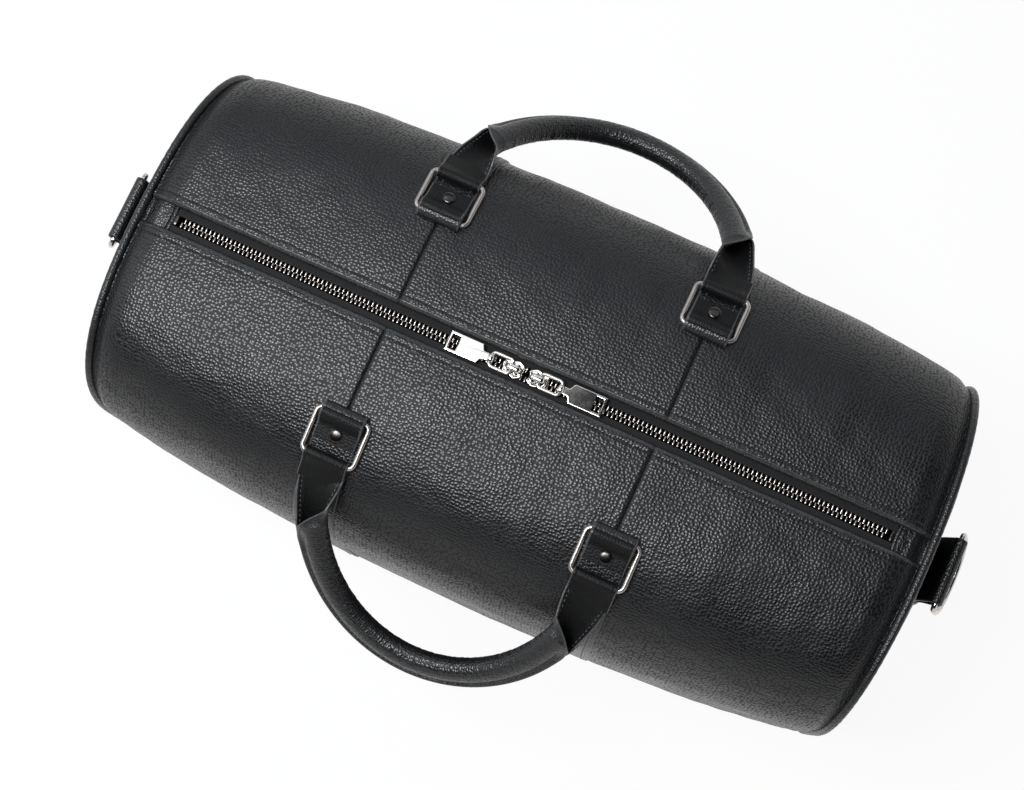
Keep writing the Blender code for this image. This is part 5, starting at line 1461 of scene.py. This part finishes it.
# %% Tapes and teeth
TOOTH_PLACES = np.array([0.0, 0.03, 0.10, 0.42, 0.66, 0.84, 0.96, 1.0])
TOOTH_WIDE = np.array([0.20, 0.52, 0.62, 0.60, 0.50, 0.58, 0.42, 0.16]) / 1000
TOOTH_TALL = np.array([0.45, 0.90, 1.15, 1.12, 0.80, 0.95, 0.70, 0.30]) / 1000
TOOTH_END = np.array([[0, 1, 2, 3], [0, 3, 4, 7], [4, 5, 6, 7]])
TOOTH_LENGTH = TOOTH_ROOT + 0.0004
TOOTH_TILT = -0.05
TAPE_DIP, TAPE_WAVE = 0.0004, 0.00012
PARTING = 0.0014


def parting(x):
    """How far a row stands off the middle under the sliders: an eased step of the distance."""
    return PARTING * soft_step((0.0094 - np.abs(x)) / 0.0038)


def tape_piece(name, side):
    """A tape: from the teeth's cord to under the hem, dipping a little between them."""
    x = np.linspace(-ZIP_END_X + GAP, ZIP_END_X - GAP, 260)[:, None]
    part = np.linspace(0, 1, 18)
    near = TOOTH_ROOT + GAP + parting(x)
    y = near + part * (ZIP_OPENING / 2 + HEM_DEPTH - near)
    dip = TAPE_DIP * np.sin(np.pi * np.clip(part / 0.6, 0, 1))
    wave = TAPE_WAVE * unevenness(x, y, 0.018, 0.3 + side)
    middle = stacked(x, side * y, TAPE_HEIGHT - dip + wave)
    normal = np.broadcast_to((0.0, 0.0, 1.0), middle.shape)
    return grid_piece(name, strip_rows(middle, normal, TAPE_THICKNESS), wrap=True, caps=True)


def teeth_piece(name, side):
    """A row of teeth: rings of eight points whose width and height follow the tooth's outline.

    The rows stand a quarter of a pitch to either side of each other, so that they mesh.
    """
    count = int(2 * (ZIP_END_X - 0.0028 - 2 * GAP) / TOOTH_PITCH) - 1
    x = ((np.arange(count) - (count - 1) / 2 + 0.25 * side) * TOOTH_PITCH)[:, None, None]
    turn = whole_turn(8, 0.5)
    y = TOOTH_ROOT + parting(x) - TOOTH_PLACES[:, None] * TOOTH_LENGTH
    wide = TOOTH_WIDE[:, None] * squared(np.cos(turn), 0.7)
    tall = TOOTH_TALL[:, None] * squared(np.sin(turn), 0.7)
    points = stacked(x + wide, side * y, TAPE_HEIGHT + tall + TOOTH_TILT * (y - 0.5 * TOOTH_ROOT))
    faces = np.vstack([ring_quads(7, 8)[:, [0, 3, 2, 1]], TOOTH_END, TOOTH_END + 56])
    return repeated_piece(name, points, faces)


for side, word in ((-1, "front"), (1, "back")):
    dress(tape_piece(f"tape_{word}_cloth", side), "bag_body", TAPE_CLOTH, f"zip_tape_{word}")
    dress(teeth_piece(f"teeth_{word}_row", side), "bag_body", TOOTH_METAL, f"zip_teeth_{word}")
print("tapes and teeth")

# %% [markdown]
# Sliders, links and pulls
#
# The sliders are cast and polished: two rounded lobes at the nose, side walls that hold the
# rows, and a raised bridge. A wire link passes under the bridge and carries a flat pull, whose
# chamfered rim and window catch the light. The plates lie flat at rest, one along each row.


# %% The sizes of sliders and pulls
SLIDER_LENGTH = 0.0130
SLIDER_X = 0.0075
SLIDER_WALL = 0.0009
SLIDER_INSIDE = 0.0015
SLIDER_OUTSIDE = 0.0025
SLIDER_TAIL = 0.0037
SLIDER_NOSE = 0.0051
BRIDGE_LENGTH = 0.0078
BRIDGE_WIDTH = 0.0034
BRIDGE_CLEAR = 0.0026
BRIDGE_THICKNESS = 0.0013
LINK_WIRE = 0.0011
LINK_LENGTH = 0.0130
LINK_WIDTH = 0.0088
LINK_CORNER = 0.0022
LINK_NEAR_X = 0.0089
LINK_HEIGHT = 0.2362
PULL_LENGTH = 0.0270
PULL_WIDTH = 0.0120
PULL_THICKNESS = 0.0014
TONGUE_WIDTH = 0.0046
TONGUE_LENGTH = 0.0050
SHOULDER = 0.0018
WINDOW_LENGTH = 0.0050
WINDOW_WIDTH = 0.0090
WINDOW_INSET = 0.0016
WINDOW_POWER = 14
PULL_BOW = 0.00008
KNUCKLE_RADIUS = 0.0020
KNUCKLE_HOLE = 0.00125
print("each slider is", SLIDER_LENGTH, "m long and its pull", PULL_LENGTH)


# %% Rounded outlines
def rounded(corners, radii, steps=6):
    """A closed outline with round corners: at each corner an arc that touches both its sides.

    The arc starts and ends the radius over the tangent of half the corner's turn from it.
    """
    corners = np.asarray(corners, float)
    points = []
    for number, (corner, radius) in enumerate(zip(corners, radii)):
        before = unit(corners[number - 1] - corner)
        after = unit(corners[(number + 1) % len(corners)] - corner)
        half = math.acos(float(np.clip(before @ after, -1, 1))) / 2
        middle = corner + unit(before + after) * radius / math.sin(half)
        start = corner + before * radius / math.tan(half) - middle
        stop = corner + after * radius / math.tan(half) - middle
        first = math.atan2(start[1], start[0])
        sweep = (math.atan2(stop[1], stop[0]) - first + math.pi) % (2 * math.pi) - math.pi
        turn = first + sweep * np.linspace(0, 1, steps)
        points.append(middle + radius * np.column_stack([np.cos(turn), np.sin(turn)]))
    return np.vstack(points)


def rounded_box(x, y, radius):
    """A rectangle's outline with round corners, its half sizes x and y."""
    return rounded([(-x, -y), (x, -y), (x, y), (-x, y)], [radius] * 4, 10)


def inward_normals(outline):
    """Unit vectors into a closed outline that runs anticlockwise."""
    run = unit(np.roll(outline, -1, axis=0) - np.roll(outline, 1, axis=0))
    return np.column_stack([-run[:, 1], run[:, 0]])


print("a box of", len(rounded_box(2.0, 1.0, 0.1)), "points")


# %% The sliders' castings
SKIRT_LOW, SKIRT_DEEP = 0.00075, 0.00065
POST_LENGTH, POST_WIDTH, POST_HEIGHT = 0.0015, 0.00065, 0.0018
BRIDGE_CROWN = 0.00022
PLATE_RADII = [0.0016, 0.004, 0.0030, 0.0017, 0.0006, 0.0017, 0.0030, 0.004, 0.0016]
# Each level of a plate: how far inside its outline, whether it rides on the skirt, and its height.
PLATE_LEVELS = [(0.0030, 0, SLIDER_INSIDE), (0.00085, 0, SLIDER_INSIDE), (0.00075, 1, 0.0)]
PLATE_LEVELS += [(0.0002, 1, -0.0001), (0.0, 1, 0.0002), (0.0, 0, 0.00185)]
PLATE_LEVELS += [(0.00012, 0, 0.0022), (0.0004, 0, 0.00245)]
PLATE_LEVELS += [(0.0008, 0, 0.00262), (0.0012, 0, 0.00266), (0.0016, 0, 0.0023), (0.0018, 0, 0.0023)]
PLATE_LEVELS += [(0.0030, 0, 0.0024)]


def plate_outline():
    """A plate from above: a narrow tail, and two lobes at the nose with a notch between them."""
    wall = SLIDER_WALL
    half = [
        (SLIDER_LENGTH / 2, -SLIDER_TAIL - wall * 0.4),
        (SLIDER_LENGTH * 0.16, -SLIDER_TAIL - wall),
        (-SLIDER_LENGTH * 0.14, -SLIDER_NOSE - wall),
        (-SLIDER_LENGTH / 2, -SLIDER_NOSE + 2.0 * wall),
        (-SLIDER_LENGTH / 2 + 0.0013, 0.0),
    ]
    corners = half + [(x, -y) for x, y in half[-2::-1]]
    return even_loop(rounded(corners, PLATE_RADII), 96)[::-1]


def slider_plates(name, sign):
    """The two plates, one the other's mirror: their outline at the insets and heights of the levels."""
    outline = plate_outline()
    inset, on_skirt, height = np.array(PLATE_LEVELS).T[..., None]
    across = np.abs(outline[:, 0]) / (SLIDER_LENGTH / 2)
    skirt = SKIRT_LOW + SKIRT_DEEP * soft_step((across - 0.72) / 0.2)
    place = outline + inward_normals(outline) * inset[..., None]
    x, level = sign * (SLIDER_X + place[..., 0]), on_skirt * skirt + height
    plates = [stacked(x, place[..., 1], TAPE_HEIGHT + way * level) for way in (1, -1)]
    return [grid_piece(f"{name}_plate_{n}", plate, wrap=True, caps=True) for n, plate in enumerate(plates)]


def slider_bridge(name, sign):
    """The bridge: an arch that widens towards its feet, with a low crown across it."""
    x, top = BRIDGE_LENGTH / 2, BRIDGE_CLEAR + BRIDGE_THICKNESS / 2
    corners = [(x, -0.0006), (x, top), (-x, top), (-x, -0.0006)]
    arch = rounded(corners, [0.0001, 0.0023, 0.0023, 0.0001], 12)[10:38]
    run = unit(np.gradient(arch, axis=0))[:, None]
    part = np.linspace(-1, 1, 9)
    flare = 1.0 + 0.45 * (1 - soft_step(arch[:, 1:] / 0.0022))
    y = (BRIDGE_WIDTH / 2 - 0.0004) * flare * part
    middle = stacked(sign * (SLIDER_X + arch[:, :1]), y, TAPE_HEIGHT + SLIDER_OUTSIDE + arch[:, 1:])
    normal = np.broadcast_to(stacked(sign * run[..., 1], 0.0, -run[..., 0]), middle.shape)
    middle = middle + normal * (BRIDGE_CROWN * (1 - part ** 2))[:, None]
    rows = strip_rows(middle, normal, BRIDGE_THICKNESS)
    return outward(grid_piece(f"{name}_bridge", rows, wrap=True, caps=True))


def slider_post(name, sign):
    """The post between the plates at the nose: an upright rod, longer along the zip."""
    turn = whole_turn(20)
    x = sign * (SLIDER_X - SLIDER_LENGTH / 2 + SLIDER_WALL + 0.0016 + POST_LENGTH * np.cos(turn))
    z = TAPE_HEIGHT + POST_HEIGHT * np.array([[-1.0], [0.0], [1.0]])
    points = stacked(x, POST_WIDTH * np.sin(turn), z)
    return outward(grid_piece(f"{name}_post", points, wrap=True, caps=True))


print("a plate has", len(PLATE_LEVELS), "levels")


# %% Links, pulls and their knuckles
def pull_outline():
    """The pull from above: a tongue, sloping shoulders and a plate with round corners."""
    slim, wide = TONGUE_WIDTH / 2, PULL_WIDTH / 2
    neck, shoulder = TONGUE_LENGTH, TONGUE_LENGTH + SHOULDER
    corners = [(0.0010, slim), (0.0010, -slim), (neck, -slim), (shoulder, -wide)]
    corners += [(PULL_LENGTH, -wide), (PULL_LENGTH, wide), (shoulder, wide), (neck, slim)]
    radii = [0.0005, 0.0005, 0.0008, 0.0009, 0.0006, 0.0006, 0.0009, 0.0008]
    return even_loop(rounded(corners, radii), 150)


def window_edge(outline, middle):
    """The window: in the direction of each outline point, as far as a rectangle rounded by a power."""
    turn = np.arctan2(outline[:, 1], outline[:, 0] - middle[0])
    way = np.column_stack([np.cos(turn), np.sin(turn)])
    share = np.abs(way) / (np.array([WINDOW_LENGTH, WINDOW_WIDTH]) / 2)
    return middle + way * (share ** WINDOW_POWER).sum(axis=1, keepdims=True) ** (-1 / WINDOW_POWER)


def pull_piece(name, sign):
    """The pull: a ring-shaped grid from its window over a chamfered rim to its outer edge and back."""
    outer = pull_outline()
    middle = np.array([PULL_LENGTH - WINDOW_INSET - WINDOW_LENGTH / 2, 0.0])
    inner = window_edge(outer, middle)
    half = PULL_THICKNESS / 2
    edge = [(0.0, half - 0.0004), (0.00012, half - 0.0001), (0.00045, half), (0.00052, half)]
    low = [(inner - unit(middle - inner) * inset, level) for inset, level in edge]
    low += [(outer + inward_normals(outer) * inset, level) for inset, level in edge[::-1]]
    rows = [stacked(*place.T, -level) for place, level in low]
    points = np.array(rows + [stacked(*place.T, level) for place, level in low[::-1]])
    points[..., 2] += PULL_BOW * np.sign(points[..., 2]) * np.sin(np.pi * points[..., 0] / PULL_LENGTH)
    points = points * (sign, 1, 1) + (sign * (LINK_NEAR_X + LINK_LENGTH), 0, LINK_HEIGHT)
    return outward(grid_piece(name, points, wrap=True, loop=True))


def knuckle_piece(name, sign):
    """The pull's knuckle: a tube round the link's far bar, with rounded ends."""
    half = [(KNUCKLE_HOLE, 1.0), (KNUCKLE_RADIUS - 0.0004, 1.0), (KNUCKLE_RADIUS, 0.85)]
    radius, share = np.array([(r, -s) for r, s in half] + half[::-1]).T[..., None]
    turn = whole_turn(28)
    x = sign * (LINK_NEAR_X + LINK_LENGTH) + radius * np.cos(turn)
    points = stacked(x, share * TONGUE_WIDTH / 2, LINK_HEIGHT + radius * np.sin(turn))
    return outward(grid_piece(name, points, wrap=True, loop=True))


def link_piece(name, sign):
    """The wire link: a rounded rectangle between the bridge and the knuckle."""
    outline = even_loop(rounded_box(LINK_LENGTH / 2, LINK_WIDTH / 2, LINK_CORNER), 96)
    x = sign * (LINK_NEAR_X + LINK_LENGTH / 2 + outline[:, 0])
    return wire(name, stacked(x, outline[:, 1], LINK_HEIGHT), (0, 0, 1), LINK_WIRE, sides=16)


print("a pull's outline has", len(pull_outline()), "points")


# %% Sliders, links and pulls in place
for sign, word in ((-1, "left"), (1, "right")):
    name, body = f"slider_{word}_metal", f"slider_{word}_body"
    upper, lower = slider_plates(name, sign)
    dress(upper, body, NICKEL, f"slider_{word}")
    for casting in (lower, slider_bridge(name, sign), slider_post(name, sign)):
        dress(casting, body, NICKEL)
    link, plate = f"pull_link_{word}", f"pull_plate_{word}"
    dress(link_piece(f"{link}_wire", sign), f"{link}_body", NICKEL, link)
    dress(pull_piece(f"{plate}_metal", sign), f"{plate}_body", NICKEL, plate)
    dress(knuckle_piece(f"{plate}_knuckle", sign), f"{plate}_body", NICKEL)
print("sliders, links and pulls")

# %% [markdown]
# Zip ends, feet and the inside
#
# A small leather patch with a folded edge closes each zip end over the last teeth. Under the
# bag four domed studs are riveted through the base leather and its board. Inside hang the cloth
# lining and, in the handles, the cords; they hardly show, but an open zip lets the eye in.

# %% Patches and stops
PATCH_SINK = 0.0036
PATCH_FOLD = 0.0011
PATCH_THICKNESS = 0.0014
PATCH_START = ZIP_END_X + 0.0002
PATCH_END = PANEL_END_X + 0.0040
PATCH_BOW = 0.0007
PATCH_DROOP = 0.0004
PATCH_WALL = 0.0003
WRINKLE_DEPTH, WRINKLE_SIZE = 0.00022, 0.0042
STOP_PLACES = np.array([-1.0, -0.97, -0.88, -0.4, 0.0, 0.4, 0.88, 0.97, 1.0])
STOP_FATNESS = np.array([0.55, 0.8, 0.98, 1.0, 1.0, 1.0, 0.98, 0.8, 0.55])


def patch_piece(name, sign):
    """The patch: level leather with a groove behind its rounded fold, wrinkled towards the rim."""
    across = np.linspace(-1, 1, 25)
    turn = np.radians(np.linspace(270, 90, 11))[:, None]
    distance = np.linspace(0, 1, 46)[:, None] ** 1.1 * (PATCH_END - PATCH_START - 2 * PATCH_FOLD)
    x = distance + PATCH_FOLD
    sink = PATCH_SINK * (1 - 0.62 * soft_step((distance - 0.003) / 0.010))
    top = top_height(PATCH_START + x) - end_groove(PATCH_START + x) - sink
    wrinkle = WRINKLE_DEPTH * unevenness(x, 0.004 * across, WRINKLE_SIZE, 0.5 + sign)
    wrinkle = wrinkle * soft_step((distance - 0.002) / 0.003)
    groove = 0.0009 * bell(distance - 0.0015, 0.00045)
    lie = top - groove - wrinkle - PATCH_DROOP * across ** 2
    front = top[:1] - PATCH_FOLD - PATCH_DROOP * across ** 2
    under = np.minimum(lie - PATCH_THICKNESS, front - PATCH_FOLD)[::-1]
    out = np.concatenate([x[::-1], PATCH_FOLD + PATCH_FOLD * np.cos(turn), x])
    z = np.concatenate([under, front + PATCH_FOLD * np.sin(turn), lie])
    y = (ZIP_OPENING / 2 - GAP) * across
    x = bowed(sign * (PATCH_START + out - PATCH_BOW * (1 - across ** 2)), y)
    return give_wall(grid_piece(name, stacked(x, y, z), flip=sign > 0), PATCH_WALL)


def stop_piece(name, sign):
    """The zip's end stop: a low bar with rounded shoulders across both rows."""
    turn = whole_turn(24, 0.5)
    fat = STOP_FATNESS[:, None]
    x = sign * (ZIP_END_X - GAP - 0.0014) + 0.0013 * fat * squared(np.cos(turn), 0.45)
    z = TAPE_HEIGHT + 0.0012 * fat * squared(np.sin(turn), 0.6)
    return outward(grid_piece(name, stacked(x, TOOTH_ROOT * STOP_PLACES[:, None], z), wrap=True, caps=True))


print("an end stop has", len(STOP_PLACES), "rings")


# %% Board and feet
BOARD_THICKNESS = 0.0025
BOARD_HALF = (0.205, 0.070)
BOARD_CORNER = 0.02
BOARD_EASE = 0.0006
FOOT_RADIUS = 0.0070
FOOT_PLACE = (0.190, 0.058)


def board_height():
    """Height of the base leather's inner face where the board's long edges rest on it."""
    x, y = np.array(BOARD_HALF)
    power = base_power(x)
    drop = (WIDEST_HEIGHT - BASE_HEIGHT) * (1.0 - (y / half_width(x)) ** power) ** (1.0 / power)
    return float(WIDEST_HEIGHT - drop) + LEATHER


def board_piece(name):
    """The stiff board: a rounded rectangle with eased edges."""
    outline = rounded_box(*BOARD_HALF, BOARD_CORNER)
    far = BOARD_THICKNESS - BOARD_EASE
    edge = [(BOARD_EASE, 0.0), (0.0, BOARD_EASE), (0.0, far), (BOARD_EASE, BOARD_THICKNESS)]
    inset, level = np.array(edge).T[..., None]
    x, y = np.moveaxis(outline + inward_normals(outline) * inset[..., None], -1, 0)
    return outward(grid_piece(name, stacked(x, y, board_height() + GAP + level), wrap=True, caps=True))


def foot_profile(top):
    """A foot's outline from the rivet inside to the dome that stands on the floor."""
    flat = BASE_HEIGHT - GAP
    line = [(0.0, top + 0.001), (0.0024, top + 0.001), (0.0036, top + 0.0005), (0.004, top)]
    line += [(0.002, top), (0.002, flat), (FOOT_RADIUS - 0.0004, flat)]
    line += [(FOOT_RADIUS, flat - 0.0004), (FOOT_RADIUS, flat * 0.66)]
    turn = np.radians(np.linspace(0, 90, 12))[1:]
    dome = np.column_stack([FOOT_RADIUS * np.cos(turn) ** 0.55, flat * 0.66 * (1 - np.sin(turn))])
    return np.vstack([line, dome])


print("the board lies", round(board_height() + GAP, 4), "m over the floor")


# %% The lining and the handles' cords
LINING_INSET = 0.0048 + 0.0008
LINING_END = PIPING_X - LEATHER - 2 * GAP - 0.0006
LINING_FLOOR = board_height() + BOARD_THICKNESS + 3 * GAP + 0.001
LINING_WALL = 0.0006
DRAPE_DEPTH, DRAPE_SIZE = 0.0016, 0.034
CORE_RADIUS = 0.0054


def lining_piece(name):
    """The lining: a soft sack inside the leather, open under the zip, with drapes in its sides."""
    x = np.linspace(-1, 1, 140)[:, None] * LINING_END
    first = angle_at_width(x, (ZIP_OPENING + HEM_DEPTH) / 2)
    angle = first + np.linspace(0, 1, 160) * (2 * np.pi - 2 * first)
    inset = LINING_INSET + RIM_DROP * soft_step((np.abs(x) - ZIP_END_X) / (END_X - ZIP_END_X))
    y, z = whole_section(x, angle, inset)
    drape = 1.0 + unevenness(x, 0.2 * z, DRAPE_SIZE, 0.9) * soft_step((np.abs(y) - 0.03) / 0.03)
    drape = DRAPE_DEPTH * drape * soft_step((ZIP_HEIGHT - 0.01 - z) / 0.03)
    y, z = whole_section(x, angle, inset + drape)
    points = stacked(bowed(x, y), y, np.maximum(z, LINING_FLOOR))
    return give_wall(grid_piece(name, points), LINING_WALL, 0.0)


def lining_end(name, sign):
    """The lining's end: rings from its outline to the middle, drawn in a little by folds."""
    angle = whole_turn(120)[None, :]
    ring = np.linspace(1, 0, 30)[:, None]
    y, z = whole_section(np.full(angle.shape, LINING_END), angle, LINING_INSET + RIM_DROP * 0.95)
    y = ring * y
    z = WIDEST_HEIGHT + ring * (np.maximum(z, LINING_FLOOR) - WIDEST_HEIGHT)
    fold = 0.0006 * unevenness(y, z, 0.05, 0.4) - 0.0012
    x = sign * (bowed(LINING_END, y) + fold * soft_step((1 - ring) / 0.2))
    return give_wall(grid_piece(name, stacked(x, y, z), wrap=True, flip=sign > 0, weld=True), LINING_WALL)


def core_piece(name, side):
    """The cord inside a handle's roll: a half ellipse that sags with the handle."""
    first = math.asin(POCKET_END / HANDLE_REACH)
    angle = np.linspace(first, math.pi - first, 300)
    off = HANDLE_ROLL - (HANDLE_BAND + LAYER_GAP) / 2
    path = let_down(stacked(-STATION_X * np.cos(angle), HANDLE_REACH * np.sin(angle), off))
    axes, origin = handle_place(side)
    return wire(name, path @ axes + origin, axes[2], CORE_RADIUS, closed=False, sides=20)


print("the lining is", round(2 * LINING_END, 4), "m long")


# %% The end pieces and the inside in place
for sign, word in ((-1, "left"), (1, "right")):
    dress(patch_piece(f"zip_patch_{word}_leather", sign), "bag_body", STRAP_LEATHER, f"zip_end_patch_{word}")
    dress(stop_piece(f"zip_stop_{word}_bar", sign), "bag_body", DARK_METAL, f"zip_stop_{word}")
    for side, side_word in ((-1, "front"), (1, "back")):
        profile = foot_profile(board_height() + BOARD_THICKNESS + 2 * GAP)
        place = (sign * FOOT_PLACE[0], side * FOOT_PLACE[1], 0)
        foot = turned_piece(f"foot_{side_word}_{word}_stud", profile, place, (0, 0, 1), 48)
        dress(foot, "bag_body", GUNMETAL, f"foot_{side_word}_{word}")
dress(lining_piece("lining_sack"), "bag_body", LINING_CLOTH, "lining")
for sign, word in ((-1, "left"), (1, "right")):
    dress(lining_end(f"lining_end_{word}", sign), "bag_body", LINING_CLOTH)
dress(board_piece("base_board_sheet"), "bag_body", BOARD, "base_board")
for side, word in ((-1, "front"), (1, "back")):
    dress(core_piece(f"handle_core_{word}_cord", side), f"handle_{word}_body", CORD, f"handle_core_{word}")
print("patches, stops, feet, lining, board and cords")
